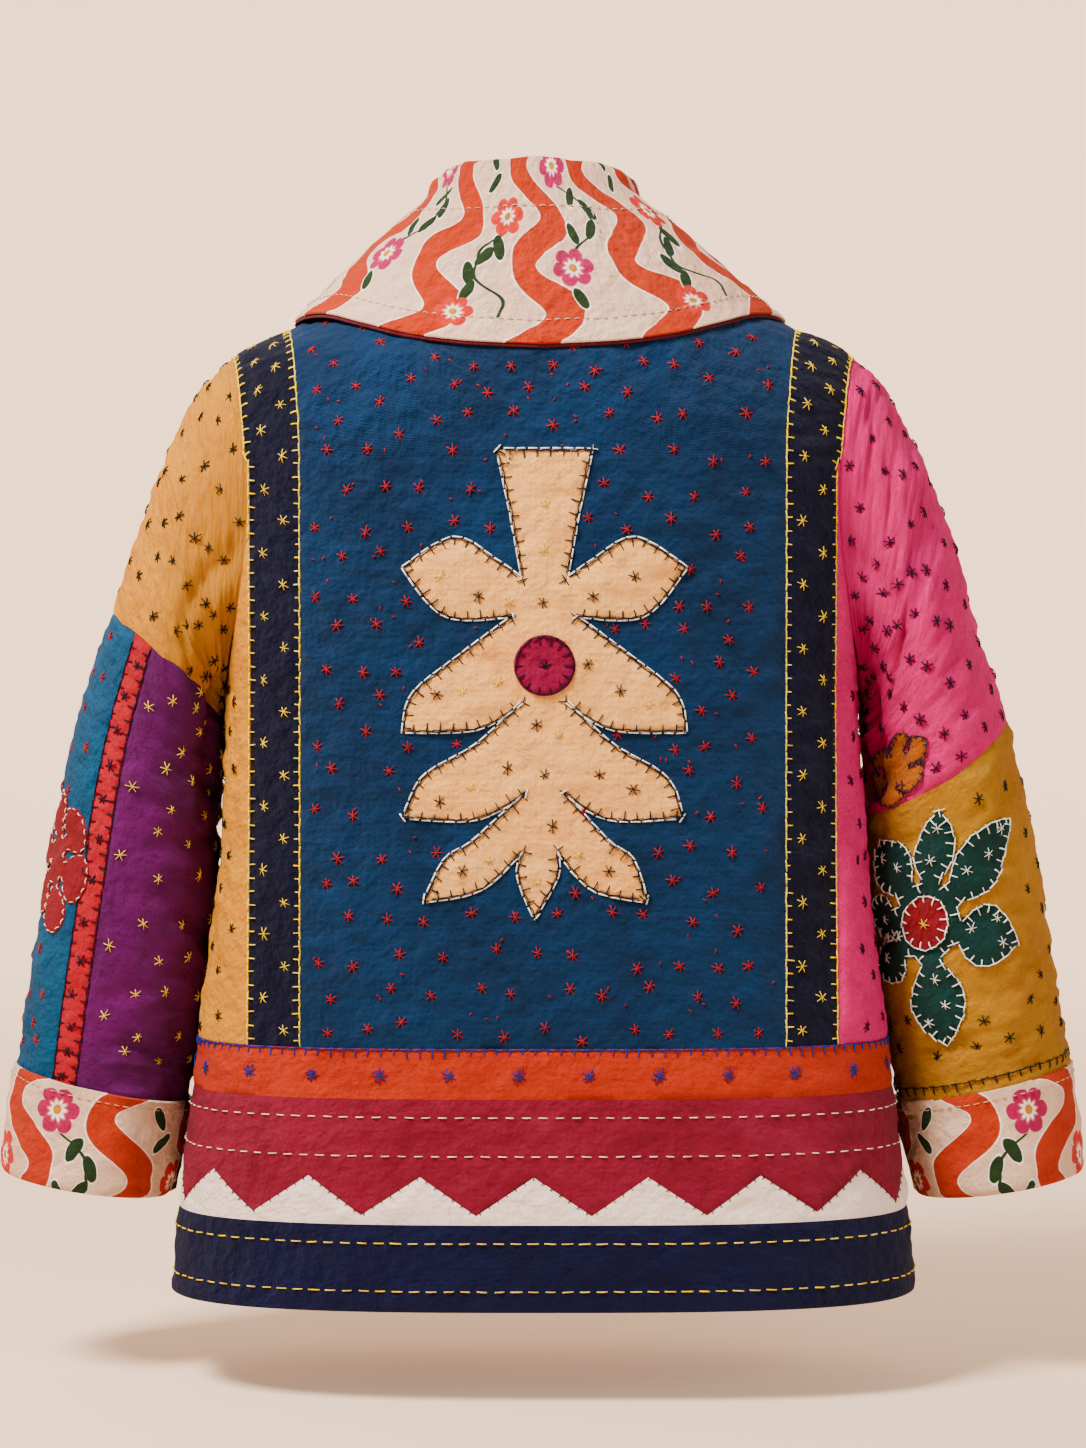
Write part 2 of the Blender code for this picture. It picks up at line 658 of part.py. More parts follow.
SPRAY_X = 0.001
SPRAY_LEAN = 0.006


def spray_outline(steps=3):
    """Outline of the spray: a flared stem, four pairs of leaves and a bud."""
    half = [STEM_TOP, (0.0205, 0.4950)]
    for upper, lower in LEAVES:
        half += spline(upper, steps)
        half += spline((upper[-1],) + lower, steps)
    half += spline(BUD, steps) + [BUD[-1]]
    both = half + [(-x, z) for x, z in reversed(half[:-1])]
    lean = [SPRAY_X - SPRAY_LEAN * min(max((0.32 - z) / 0.07, 0.0), 1.0) for x, z in both]
    return [(x + off, z) for (x, z), off in zip(both, lean)]


def flower_outline(petals, core, root, belly_out=0.85, blunt=0.8, steps=4):
    """A flower as one outline: petals given as turn, length, width round a core."""
    out = []
    for turn, length, width in sorted(petals):
        c, s = math.cos(math.radians(turn)), math.sin(math.radians(turn))
        for side in (-1, 1):
            for i in range(steps + 1):
                u = (i if side < 0 else steps - i) / steps
                if side > 0 and i == 0:
                    continue
                along = core + (length - core) * u
                belly = 0.5 * width * 0.97 * abs(math.sin(math.pi * u**belly_out)) ** blunt
                across = side * max(root * (1 - u), belly)
                out.append((along * c - across * s, along * s + across * c))
    return out


# Petals: turn, length, width
GREEN_PETALS = (
    (74, 0.077, 0.035),
    (31, 0.091, 0.037),
    (-22, 0.074, 0.042),
    (-88, 0.095, 0.042),
    (-148, 0.062, 0.038),
    (168, 0.056, 0.036),
    (118, 0.078, 0.035),
)
ORANGE_PETALS = (
    (13, 0.037, 0.030),
    (75, 0.038, 0.028),
    (125, 0.042, 0.028),
    (-40, 0.035, 0.030),
    (-97, 0.034, 0.030),
    (-168, 0.036, 0.034),
)
RED_PETALS = (
    (12, 0.041, 0.031),
    (72, 0.043, 0.031),
    (132, 0.041, 0.031),
    (192, 0.041, 0.031),
    (252, 0.045, 0.031),
    (312, 0.041, 0.031),
)


def round_outline(radius, count=18):
    turns = [2 * math.pi * i / count for i in range(count)]
    return [(radius * math.cos(t), radius * math.sin(t)) for t in turns]


def inside(point, outline):
    hit = False
    for (x0, y0), (x1, y1) in zip(outline, outline[1:] + outline[:1]):
        if (y0 > point[1]) != (y1 > point[1]) and point[0] < (x1 - x0) * (point[1] - y0) / (y1 - y0) + x0:
            hit = not hit
    return hit


def shorter(outline, longest):
    """The same outline with its long edges divided."""
    out = []
    for (x0, y0), (x1, y1) in zip(outline, outline[1:] + outline[:1]):
        parts = max(1, math.ceil(math.hypot(x1 - x0, y1 - y0) / longest))
        out += [(x0 + (x1 - x0) * i / parts, y0 + (y1 - y0) * i / parts) for i in range(parts)]
    return out


def applique(name, outline, place, lift, thick, spacing, colour):
    """A flat shape laid on the surface that place gives, as points and normals."""
    outline = shorter(outline, spacing)
    flat = [Vector(p) for p in outline]
    box = np.array(outline)
    for u in np.arange(box[:, 0].min(), box[:, 0].max(), spacing):
        for v in np.arange(box[:, 1].min(), box[:, 1].max(), spacing):
            near = np.min(np.hypot(box[:, 0] - u, box[:, 1] - v))
            if near > spacing * 0.45 and inside((u, v), outline):
                flat.append(Vector((u, v)))
    result = delaunay_2d_cdt(flat, [], [list(range(len(outline)))], 1, 1e-7)
    points, normals = place(np.array([tuple(v) for v in result[0]]))
    cloth = Cloth()
    ids = [cloth.vertex(p, n) for p, n in zip(points + normals * (lift + thick), normals)]
    cloth.faces = [tuple(ids[i] for i in f) for f in result[2]]
    add(name, *cloth.solid(thick), colour)


def on_back(flat):
    x, z = flat[:, 0], flat[:, 1]
    points = np.stack([x, -body_depth(x, z, -1), z], -1)
    return points, body_normals(points)


def on_sleeve(side, angle, ring):
    """Lays flat metres on a sleeve round a middle: u towards the outside, v up."""

    def place(flat):
        k = ring - flat[:, 1] / RING_STEP
        a = angle - np.degrees(flat[:, 0] / 0.066)
        return sleeve(a, k, side), sleeve_normals(a, k, side)

    return place


def main():
    for ob in list(bpy.data.objects):
        bpy.data.objects.remove(ob, do_unlink=True)
    blue, navy = (0.005, 0.075, 0.150), (0.010, 0.012, 0.045)
    mustard, pink, purple = (0.76, 0.40, 0.07), (0.75, 0.05, 0.20), (0.12, 0.004, 0.10)
    back_grid("back_panel", blue)
    for name, side in (("left", -1), ("right", 1)):
        front_grid("front_" + name, side, blue)
        strip_grid("strip_" + name, side, navy)
        side_grid("side_" + name, side, mustard if side < 0 else pink)
    half = SEAM / 2
    band("band_orange", lambda s: ORANGE_LOW + half, lambda s: WAIST - half, (0.82, 0.08, 0.005), 2)
    red = (0.50, 0.02, 0.045)
    band("band_raspberry", lambda s: zigzag(s) + 2 * half, lambda s: ORANGE_LOW - half, red, 3)
    band("band_white", lambda s: NAVY_TOP + half, lambda s: zigzag(s) - half, (0.80, 0.74, 0.69), 2)
    band("band_navy", lambda s: 0.0, lambda s: NAVY_TOP - half, navy, 3)
    full = ANGLES
    gap = 0.13
    end = level(SLEEVE_END)
    sleeve_grid("sleeve_upper_left", -1, mustard, full, level(0), seam(SEAM_LEFT, -1), 7, True)
    for name, start, stop, colour in (
        ("gore_teal", 265, 62, (0.012, 0.21, 0.30)),
        ("gore_coral", 62, 80, (0.78, 0.05, 0.055)),
        ("gore_purple_left", 80, 265, purple),
    ):
        sleeve_grid(name, -1, colour, between(start, stop, gap), seam(SEAM_LEFT, 1), end, 9)
    sleeve_grid("sleeve_upper_right", 1, pink, full, level(0), seam(SEAM_RIGHT, -1), 9, True)
    gold = (0.72, 0.33, 0.008)
    for name, start, stop, colour in (("gore_gold", 354, 180, gold), ("gore_purple_right", 180, 354, purple)):
        sleeve_grid(name, 1, colour, between(start, stop, gap), seam(SEAM_RIGHT, 1), end, 9)
    cuff("cuff_left", -1, (0.80, 0.73, 0.64))
    cuff("cuff_right", 1, (0.80, 0.73, 0.64))
    collar_layers()
    applique("leaf_spray", spray_outline(), on_back, 0.0004, 0.0010, 0.022, (0.80, 0.50, 0.28))
    disc = [(u + SPRAY_X, v + 0.4010) for u, v in round_outline(0.0190)]
    applique("spray_disc", disc, on_back, 0.0018, 0.0009, 0.02, (0.52, 0.006, 0.07))
    green, deep_red = (0.003, 0.045, 0.035), (0.38, 0.01, 0.012)
    middle = on_sleeve(1, 121, 6.72)
    shape = flower_outline(GREEN_PETALS, 0.025, 0.0090)
    applique("flower_green", shape, middle, 0.0009, 0.0009, 0.013, green)
    applique("flower_disc", round_outline(0.0180, 16), middle, 0.0025, 0.0008, 0.012, deep_red)
    middle = on_sleeve(1, 134, 4.75)
    ochre = (0.76, 0.20, 0.008)
    shape = flower_outline(ORANGE_PETALS, 0.017, 0.0070)
    applique("petal_orange", shape, middle, 0.0013, 0.0009, 0.011, ochre)
    middle = on_sleeve(-1, 33, 6.45)
    shape = flower_outline(RED_PETALS, 0.013, 0.0060, 1.2, 0.55)
    applique("flower_red", shape, middle, 0.0009, 0.0009, 0.013, deep_red)


main()
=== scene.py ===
# %% [markdown]
# # A quilted patchwork jacket
# The jacket is shown from behind, filled out as if somebody wore it. Its solids already have the true
# size and form. This lesson dresses them: every solid gets a finer shell with the puckers of quilting,
# printed or plain cotton, and the embroidery that lies on it.

import math

import bpy
import numpy as np
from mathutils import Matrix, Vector
from mathutils.bvhtree import BVHTree
from mathutils.geometry import delaunay_2d_cdt


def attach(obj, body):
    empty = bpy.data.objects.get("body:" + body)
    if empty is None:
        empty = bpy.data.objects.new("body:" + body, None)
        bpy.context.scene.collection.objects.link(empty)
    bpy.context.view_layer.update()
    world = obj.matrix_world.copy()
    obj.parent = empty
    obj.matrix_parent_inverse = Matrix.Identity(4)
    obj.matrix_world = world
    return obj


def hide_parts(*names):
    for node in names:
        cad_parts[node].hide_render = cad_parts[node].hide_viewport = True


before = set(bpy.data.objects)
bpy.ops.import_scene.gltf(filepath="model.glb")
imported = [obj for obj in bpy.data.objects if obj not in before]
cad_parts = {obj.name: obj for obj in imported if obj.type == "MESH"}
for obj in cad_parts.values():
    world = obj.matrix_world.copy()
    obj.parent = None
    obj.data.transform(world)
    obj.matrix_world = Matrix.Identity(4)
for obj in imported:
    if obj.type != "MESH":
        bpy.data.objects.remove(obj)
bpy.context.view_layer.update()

# %% [markdown]
# ## Sizes of the jacket
# A real jacket starts from a paper pattern. Here the pattern is a few short tables: sections of the
# body, the shoulder line, rings of the sleeve and the stand of the collar. Heights count from the hem.

# %% Tables
MOUNT_HEIGHT = 0.604
WALL = 0.0026
ROUND_FROM = 0.530
ARMPIT = 0.385
WAIST = 0.1624
ORANGE_LOW = 0.131
WHITE_PEAK = 0.083
WHITE_VALLEY = 0.059
NAVY_TOP = 0.0533
ZIGZAG = 0.0715
ARMHOLE_SHARE = 0.68
ARMHOLE_DEEP = 0.085
ARMHOLE_LOW = 0.145
ARMHOLE_MIDDLE = 0.4945
ARMHOLE_HALF = 0.1095
SQUARE = 3.0
ARCH = 2.3
FRONT_GAP = 0.007
NECK_HALF = 0.075
NECK_SHARE_BACK = 0.624
NECK_SHARE_FRONT = 0.19
COLLAR_SHIFT = -0.006
COLLAR_END = 163.0
COLLAR_HALF = 0.160
COLLAR_CLEAR = 0.0056
CUFF_RING = 9.0
CUFF_STITCH_RING = 9.11
CUFF_HEIGHT = 0.067
COLLAR_WALL = 0.0018
UNDER_COLLAR_WALL = 0.0013
RING_STEP = 0.0645
SLEEVE_END = 9.94

# height, half width, depth of the back, depth of the front
SECTIONS = (
    (0.000, 0.2430, 0.132, 0.125),
    (0.057, 0.2372, 0.129, 0.123),
    (0.117, 0.2298, 0.127, 0.122),
    (0.165, 0.2250, 0.125, 0.121),
    (0.213, 0.2188, 0.124, 0.120),
    (0.270, 0.2123, 0.123, 0.120),
    (0.314, 0.2088, 0.122, 0.120),
    (0.385, 0.2060, 0.122, 0.119),
    (0.450, 0.2095, 0.124, 0.118),
    (0.530, 0.2140, 0.125, 0.115),
)
# distance from the middle, height
SHOULDER = (
    (0.000, 0.668),
    (0.040, 0.665),
    (0.075, 0.657),
    (0.120, 0.641),
    (0.163, 0.624),
    (0.188, 0.613),
    (0.205, 0.604),
)
# height coordinate, distance of the strip's inner edge, then of the armhole's upper edge
STRIP = ((0.000, 0.152), (0.385, 0.153), (0.530, 0.153), (0.900, 0.157), (1.200, 0.162), (1.530, 0.168))
STRIP_OUTER = 0.1862
ARM_EDGE = ((0.530, 0.1887), (0.900, 0.194), (1.200, 0.199), (1.530, 0.205))
# outer x, outer height, inner x, inner height, half depth, shift to the front
RINGS = (
    (0.2050, 0.604, 0.2060, 0.385, 0.0850, 0.000),
    (0.2225, 0.587, 0.2085, 0.380, 0.0840, 0.001),
    (0.2420, 0.552, 0.2092, 0.373, 0.0840, 0.002),
    (0.2620, 0.503, 0.2100, 0.362, 0.0820, 0.003),
    (0.2825, 0.440, 0.2110, 0.344, 0.0800, 0.005),
    (0.3035, 0.376, 0.2130, 0.314, 0.0770, 0.007),
    (0.3185, 0.312, 0.2165, 0.270, 0.0750, 0.009),
    (0.3315, 0.240, 0.2220, 0.213, 0.0720, 0.011),
    (0.3410, 0.182, 0.2295, 0.160, 0.0680, 0.012),
    (0.3460, 0.142, 0.2360, 0.117, 0.0650, 0.012),
    (0.3550, 0.075, 0.2490, 0.057, 0.0635, 0.013),
    (0.3640, 0.008, 0.2620, -0.003, 0.0620, 0.014),
)
# angle, ring, half angle, half length in rings, depth
FOLDS = (
    (128.0, 2.0, 9.0, 1.7, 0.0045),
    (232.0, 2.0, 9.0, 1.7, 0.0045),
    (148.0, 3.1, 8.0, 1.4, 0.0035),
    (160.0, 4.6, 30.0, 0.45, 0.0035),
    (205.0, 6.2, 28.0, 0.45, 0.0030),
)
# angle, ring of the seam between upper and lower sleeve
SEAM_LEFT = ((0, 4.05), (45, 3.95), (90, 3.65), (135, 2.9), (180, 2.4), (225, 2.9), (270, 3.65), (360, 4.05))
SEAM_RIGHT = ((0, 5.1), (90, 5.3), (180, 5.25), (270, 5.3), (360, 5.1))
# angle from the middle of the back, place of the free edge on the body, height and lean of the stand
COLLAR = (
    (0.0, 0.836, 0.080, -0.013),
    (15.0, 0.856, 0.079, -0.013),
    (30.0, 0.918, 0.076, -0.013),
    (45.0, 1.050, 0.072, -0.013),
    (60.0, 1.240, 0.067, -0.012),
    (75.0, 1.410, 0.061, -0.011),
    (90.0, 1.530, 0.056, -0.010),
    (105.0, 1.360, 0.052, -0.008),
    (120.0, 1.130, 0.046, -0.004),
    (135.0, 0.920, 0.038, 0.002),
    (150.0, 0.700, 0.030, 0.007),
    (COLLAR_END, 0.500, 0.024, 0.010),
)

# %% [markdown]
# ## Surfaces
# A pattern cutter thinks in curves. The same curves are worked out here as functions: one gives a point
# of the body, one a point round its side, one a point of the sleeve. Any panel, stitch or patch can then
# ask where the cloth is, so nothing floats and nothing sinks in.


# %% Curves through tables
def smooth(table, at, column=1):
    """A smooth curve through one column of a table, without overshoot."""
    data = np.asarray(table, float)
    xs, ys = data[:, 0], data[:, column]
    slope = np.diff(ys) / np.diff(xs)
    tangent = np.zeros_like(ys)
    tangent[0], tangent[-1] = slope[0], slope[-1]
    product = slope[:-1] * slope[1:]
    total = slope[:-1] + slope[1:]
    same = product > 0
    tangent[1:-1][same] = 2 * product[same] / total[same]
    at = np.clip(np.asarray(at, float), xs[0], xs[-1])
    i = np.clip(np.searchsorted(xs, at) - 1, 0, len(xs) - 2)
    step = xs[i + 1] - xs[i]
    t = (at - xs[i]) / step
    start = (1 + 2 * t) * (1 - t) ** 2 * ys[i] + t * (1 - t) ** 2 * step * tangent[i]
    end = t * t * (3 - 2 * t) * ys[i + 1] + t * t * (t - 1) * step * tangent[i + 1]
    return start + end


def lengths(points, axis):
    """Length along a grid's rows or columns, from its first point."""
    steps = np.linalg.norm(np.diff(points, axis=axis), axis=2)
    return np.insert(np.cumsum(steps, axis=axis), 0, 0.0, axis=axis)


def run_along(path):
    """Length along one line of points, from its first point."""
    return np.concatenate([[0], np.cumsum(np.linalg.norm(np.diff(path, axis=0), axis=1))])


def unit(v):
    return v / np.maximum(np.linalg.norm(v, axis=-1, keepdims=True), 1e-12)


def ease(t):
    t = np.clip(t, 0, 1)
    return t * t * (3 - 2 * t)


# %% Points of the body
def body(x, q, face, cut=True):
    """Body at x across; q is the height, or above ROUND_FROM the way round the shoulder."""
    x, q = np.broadcast_arrays(np.asarray(x, float), np.asarray(q, float))
    wide = np.abs(x)
    way = np.clip(q - ROUND_FROM, 0, 1)
    if cut:
        low = NECK_SHARE_BACK if face < 0 else NECK_SHARE_FRONT
        near = np.minimum(wide / NECK_HALF, 1.0)
        way = way * (low + (1 - low) * (1 - np.sqrt(1 - near * near)))
    angle = (1 - way) * math.pi / 2
    ridge = smooth(SHOULDER, wide)
    rise = np.maximum(np.cos(angle), 0) ** (2 / ARCH)
    z = np.where(q <= ROUND_FROM, q, ROUND_FROM + (ridge - ROUND_FROM) * rise)
    low = np.minimum(z, ROUND_FROM)
    deep = smooth(SECTIONS, low, 2 if face < 0 else 3)
    flat = (1 - np.minimum(wide / smooth(SECTIONS, low), 1) ** SQUARE) ** (1 / SQUARE)
    return np.stack([x, face * deep * flat * np.sin(angle) ** (2 / ARCH), z], -1)


def body_depth(x, z, face):
    """Depth of the body's face at a place seen from the back or front."""
    wide, low = np.abs(x), np.minimum(z, ROUND_FROM)
    up = np.clip((z - ROUND_FROM) / (smooth(SHOULDER, wide) - ROUND_FROM), 0, 1)
    flat = (1 - np.minimum(wide / smooth(SECTIONS, low), 1) ** SQUARE) ** (1 / SQUARE)
    return smooth(SECTIONS, low, 2 if face < 0 else 3) * flat * (1 - up**ARCH) ** (1 / ARCH)


def flank(turn, z, side):
    """Body round one side: turn 0 at the middle of the back, 180 at the middle of the front."""
    turn, z = np.broadcast_arrays(np.radians(np.asarray(turn, float)), np.asarray(z, float))
    cosine = np.cos(turn)
    deep = np.where(cosine > 0, smooth(SECTIONS, z, 2), smooth(SECTIONS, z, 3))
    x = side * smooth(SECTIONS, z) * np.abs(np.sin(turn)) ** (2 / SQUARE)
    return np.stack([x, -np.sign(cosine) * deep * np.abs(cosine) ** (2 / SQUARE), z], -1)


def turn_of(x, z):
    return np.degrees(np.arcsin((np.abs(x) / smooth(SECTIONS, z)) ** (SQUARE / 2)))


def armhole_turn(z, face):
    """The turn, from the middle of its own face, at which the armhole cuts a section."""
    drop = np.clip((ROUND_FROM - z) / ARMHOLE_LOW, 0, 1)
    column = 2 if face < 0 else 3
    reach = ARMHOLE_SHARE * smooth(SECTIONS, ROUND_FROM, column) * (1 - drop**2.2) ** (1 / 2.2)
    return np.degrees(np.arccos(np.clip(reach / smooth(SECTIONS, z, column), 0, 1) ** (SQUARE / 2)))


def body_normals(points):
    """Outward directions of the body's own surface at given points."""
    x, y, z = points[..., 0], points[..., 1], points[..., 2]
    face = np.where(y > 0, 1.0, -1.0)
    e = 1e-5

    def level(px, py, pz):
        low = np.minimum(pz, ROUND_FROM)
        deep = np.where(face < 0, smooth(SECTIONS, low, 2), smooth(SECTIONS, low, 3))
        up = np.clip((pz - ROUND_FROM) / (smooth(SHOULDER, np.abs(px)) - ROUND_FROM), 0, 1.2)
        inside = np.clip(1 - (np.abs(px) / smooth(SECTIONS, low)) ** SQUARE, 0, None)
        return (np.abs(py) / deep) ** ARCH - inside ** (ARCH / SQUARE) * (1 - up**ARCH)

    half = smooth(SECTIONS, np.minimum(z, ROUND_FROM))
    near = np.where(np.abs(x) < half - 2 * e, x, np.sign(x) * (np.abs(x) - 2 * e))
    gx = level(near + e, y, z) - level(near - e, y, z)
    gy = level(near, y + e, z) - level(near, y - e, z)
    gz = level(near, y, z + e) - level(near, y, z - e)
    return unit(np.stack([gx, gy, gz], -1))


# %% Points of the sleeve
ARM_HEIGHTS = ARMPIT + (ROUND_FROM - ARMPIT) * np.linspace(0, 1, 26) ** 2
ARCH_STEPS = ROUND_FROM + np.linspace(0.04, 1, 22)


def armhole_loop():
    """Edge of the right armhole: shoulder, back, armpit, front."""
    halves = []
    for face in (-1, 1):
        top = [body(smooth(ARM_EDGE, q), q, face) for q in ARCH_STEPS[::-1]]
        turns = [armhole_turn(z, face) for z in ARM_HEIGHTS[::-1]]
        low = [flank(t if face < 0 else 180 - t, z, 1) for t, z in zip(turns, ARM_HEIGHTS[::-1])]
        halves.append(np.array(top + low))
    return np.concatenate([halves[0], halves[1][-2:0:-1]])


LOOP = armhole_loop()
LOOP_UP = (LOOP[:, 2] - ARMHOLE_MIDDLE) / ARMHOLE_HALF
LOOP_ANGLES = np.degrees(np.arctan2(-LOOP[:, 1] / ARMHOLE_DEEP, LOOP_UP)) % 360
LOOP_ANGLES[0] = 0.0
RING_TABLE = [(i,) + row for i, row in enumerate(RINGS)]


def loop_at(angle, values):
    order = np.argsort(LOOP_ANGLES)
    a = np.append(LOOP_ANGLES[order], 360.0)
    v = np.concatenate([values[order], values[order[:1]]])
    return np.stack([np.interp(np.asarray(angle) % 360, a, v[:, i]) for i in range(3)], -1)


def ring(k, column):
    return smooth(RING_TABLE, k, column + 1)


def ring_middle(k):
    return np.stack([(ring(k, 0) + ring(k, 2)) / 2, ring(k, 5), (ring(k, 1) + ring(k, 3)) / 2], -1)


def ellipse(angle, k):
    angle, k = np.broadcast_arrays(np.radians(np.asarray(angle, float)), np.asarray(k, float))
    c, s = np.cos(angle), np.sin(angle)
    wide, tall = (ring(k, 0) - ring(k, 2)) / 2, (ring(k, 1) - ring(k, 3)) / 2
    return ring_middle(k) + np.stack([wide * c, -ring(k, 4) * s, tall * c], -1)


def sleeve(angle, k, side=1):
    """Sleeve: angle 0 outside, 90 back, 180 towards the body; k counts the rings."""
    angle, k = np.broadcast_arrays(np.asarray(angle, float), np.asarray(k, float))
    rest = loop_at(angle, LOOP) - ellipse(angle, 0.0)
    p = ellipse(angle, k) + rest * (1 - ease(k / 2.4))[..., None]
    depth = 0.0
    for at, middle, wide, long, deep in FOLDS:
        off = (angle - at + 180) % 360 - 180
        depth = depth + deep * np.exp(-((off / wide) ** 2) - ((k - middle) / long) ** 2)
    depth = depth * np.clip(k / 0.6, 0, 1)
    return (p - unit(p - ring_middle(k)) * depth[..., None]) * np.array([side, 1, 1])


def sleeve_normals(angle, k, side=1):
    e, f = 0.5, 0.02
    angle, k = np.broadcast_arrays(np.asarray(angle, float), np.asarray(k, float))
    along = sleeve(angle, k + f) - sleeve(angle, np.maximum(k - f, 0))
    n = unit(np.cross(sleeve(angle + e, k) - sleeve(angle - e, k), along))
    n = np.where((n * (sleeve(angle, k) - ring_middle(k))).sum(-1, keepdims=True) < 0, -n, n)
    return n * np.array([side, 1, 1])


print("armhole:", round(float(LOOP[:, 2].max() - LOOP[:, 2].min()), 3), "m high")

# %% [markdown]
# ## Puckers of the quilting
# Two layers of cotton with thin wadding between them shrink together along the quilting stitches, so
# the cloth rises in small soft pillows. Displacing the mesh gives true highlights and shadows, which a
# picture of puckers wouldn't. Smooth noise in metres keeps the pillows one size on every piece.


# %% Relief of quilted cloth
# size and rise of the pillows, of the rows of quilting and of the broad swell
PILLOW, PILLOW_RISE = 0.017, 0.00150
ROW, ROW_RISE = 0.0135, 0.00055
SWELL, SWELL_RISE = 0.07, 0.0013
# how far in a seam holds the cloth down, and how deep
HELD, GROOVE = 0.009, 0.0007
PLACES_IN_METRE = 2e5


def noise(u, v, size, seed):
    """Soft noise from -1 to 1, its spots about one size across."""
    values = np.random.default_rng(seed).uniform(-1, 1, (128, 128))
    a, b = np.asarray(u) / size + 500, np.asarray(v) / size + 500
    i, j = np.floor(a).astype(int), np.floor(b).astype(int)
    s, t = ease(a - i), ease(b - j)
    i, j, m, n = i % 128, j % 128, (i + 1) % 128, (j + 1) % 128
    low = values[i, j] * (1 - s) + values[m, j] * s
    high = values[i, n] * (1 - s) + values[m, n] * s
    return low * (1 - t) + high * t


def quilt(u, v, seed, deep=1.0):
    """Height of the puckers at a place on the cloth, in metres."""
    drift = 0.006 * noise(u, v, 0.05, seed + 1)
    pillows = noise(u + drift, v * 1.35, PILLOW, seed)
    lines = np.cos(2 * math.pi * (v + drift) / ROW) * (0.55 + 0.45 * noise(u, v, 0.03, seed + 2))
    swell = noise(u, v, SWELL, seed + 3)
    return deep * (PILLOW_RISE * pillows + ROW_RISE * lines + SWELL_RISE * swell)


def grid_faces(rows, columns, start=0):
    """Four-sided faces of a grid of points."""
    ids = np.arange(rows * columns).reshape(rows, columns) + start
    return np.stack([ids[:-1, :-1], ids[:-1, 1:], ids[1:, 1:], ids[1:, :-1]], -1).reshape(-1, 4)


def joined(points):
    """The first of each set of points in one place, and the set that each point is in."""
    key = np.round(points * PLACES_IN_METRE).astype(np.int64)
    _, first, same = np.unique(key, axis=0, return_index=True, return_inverse=True)
    return first, same.reshape(-1)


def new_object(name, verts, faces, corner_uv, materials, which):
    """Makes the piece that stands for a solid; heights are turned into the frame's."""
    mesh = bpy.data.meshes.new(name + "_cloth")
    mesh.from_pydata((verts - [0, 0, MOUNT_HEIGHT]).tolist(), [], faces.tolist())
    mesh.uv_layers.new(name="metres").data.foreach_set("uv", corner_uv.astype(np.float32).ravel())
    for material in materials:
        mesh.materials.append(material)
    if which is not None:
        mesh.polygons.foreach_set("material_index", which)
    mesh.polygons.foreach_set("use_smooth", np.ones(len(faces), bool))
    mesh.set_sharp_from_angle(angle=math.radians(50))
    ob = bpy.data.objects.new(name + "_cloth", mesh)
    bpy.context.scene.collection.objects.link(ob)
    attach(ob, "root")
    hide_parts(name)
    return ob


class Cloth:
    """Grids of points that become one shell: outside, inside and the edge between."""

    def __init__(self, seed, deep=1.0):
        self.parts, self.faces, self.count = [], [], 0
        self.seed, self.deep = seed, deep

    def grid(self, points, normals, uv, fade=(True, True, True, True), flip=False):
        """Adds a grid; fade names the edges (low, high, left, right) that a seam holds down."""
        rows, columns = points.shape[:2]
        down, across = lengths(points, 0), lengths(points, 1)
        edge = np.full((rows, columns), 1.0)
        for wanted, far in zip(fade, (down, down[-1] - down, across, across[:, -1:] - across)):
            edge = np.minimum(edge, np.where(wanted, far, 1.0))
        height = quilt(uv[..., 0], uv[..., 1], self.seed, self.deep) * ease(edge / HELD)
        height = height - GROOVE * np.exp(-((edge / 0.0028) ** 2))
        moved = points + normals * height[..., None]
        quads = grid_faces(rows, columns, self.count)
        self.faces.append(quads[:, ::-1] if flip else quads)
        self.parts.append((moved.reshape(-1, 3), normals.reshape(-1, 3), uv.reshape(-1, 2)))
        self.count += rows * columns
        return self

    def build(self, name, wall, outside, inside, edge=0.25):
        """The finished mesh object with its two cloths."""
        points, normals, uv = (np.concatenate([part[i] for part in self.parts]) for i in range(3))
        quads = np.concatenate(self.faces)
        first, same = joined(points)
        outer, n, faces = points[first], normals[first], same[quads]
        pairs = np.stack([faces, np.roll(faces, -1, axis=1)], -1).reshape(-1, 2)
        size = len(outer)
        forward, backward = pairs[:, 0] * size + pairs[:, 1], pairs[:, 1] * size + pairs[:, 0]
        rim = pairs[~np.isin(forward, backward)]
        out = np.zeros_like(outer)
        away = unit(np.cross(outer[rim[:, 1]] - outer[rim[:, 0]], n[rim[:, 0]]))
        np.add.at(out, rim[:, 0], away)
        np.add.at(out, rim[:, 1], away)
        lip = outer - n * wall * 0.5 + unit(out) * wall * edge
        inner = outer - n * wall
        a, b = rim[:, 0], rim[:, 1]
        upper = np.stack([b, a, a + 2 * size, b + 2 * size], -1)
        sides = np.concatenate([upper, np.stack([b + 2 * size, a + 2 * size, a + size, b + size], -1)])
        corners = quads.shape[1]
        if corners == 3:
            sides = np.concatenate([sides[:, [0, 1, 2]], sides[:, [0, 2, 3]]])
        every = np.concatenate([faces, faces[:, ::-1] + size, sides])
        corner_uv = [uv[quads], uv[quads[:, ::-1]], uv[first][sides % size]]
        corner_uv = np.concatenate([part.reshape(-1, 2) for part in corner_uv])
        verts = np.concatenate([outer, inner, lip])
        used, every = np.unique(every, return_inverse=True)
        every = every.reshape(-1, corners)
        verts = verts[used]
        a, b, c = verts[every[:, 0]], verts[every[:, 1]], verts[every[:, 2]]
        if np.einsum("ij,ij->", a, np.cross(b, c)) < 0:
            every = every[:, ::-1]
            corner_uv = corner_uv.reshape(-1, corners, 2)[:, ::-1].reshape(-1, 2)
        which = np.zeros(len(every), np.int32)
        which[len(faces) : 2 * len(faces)] = 1
        return new_object(name, verts, every, corner_uv, (outside, inside), which)


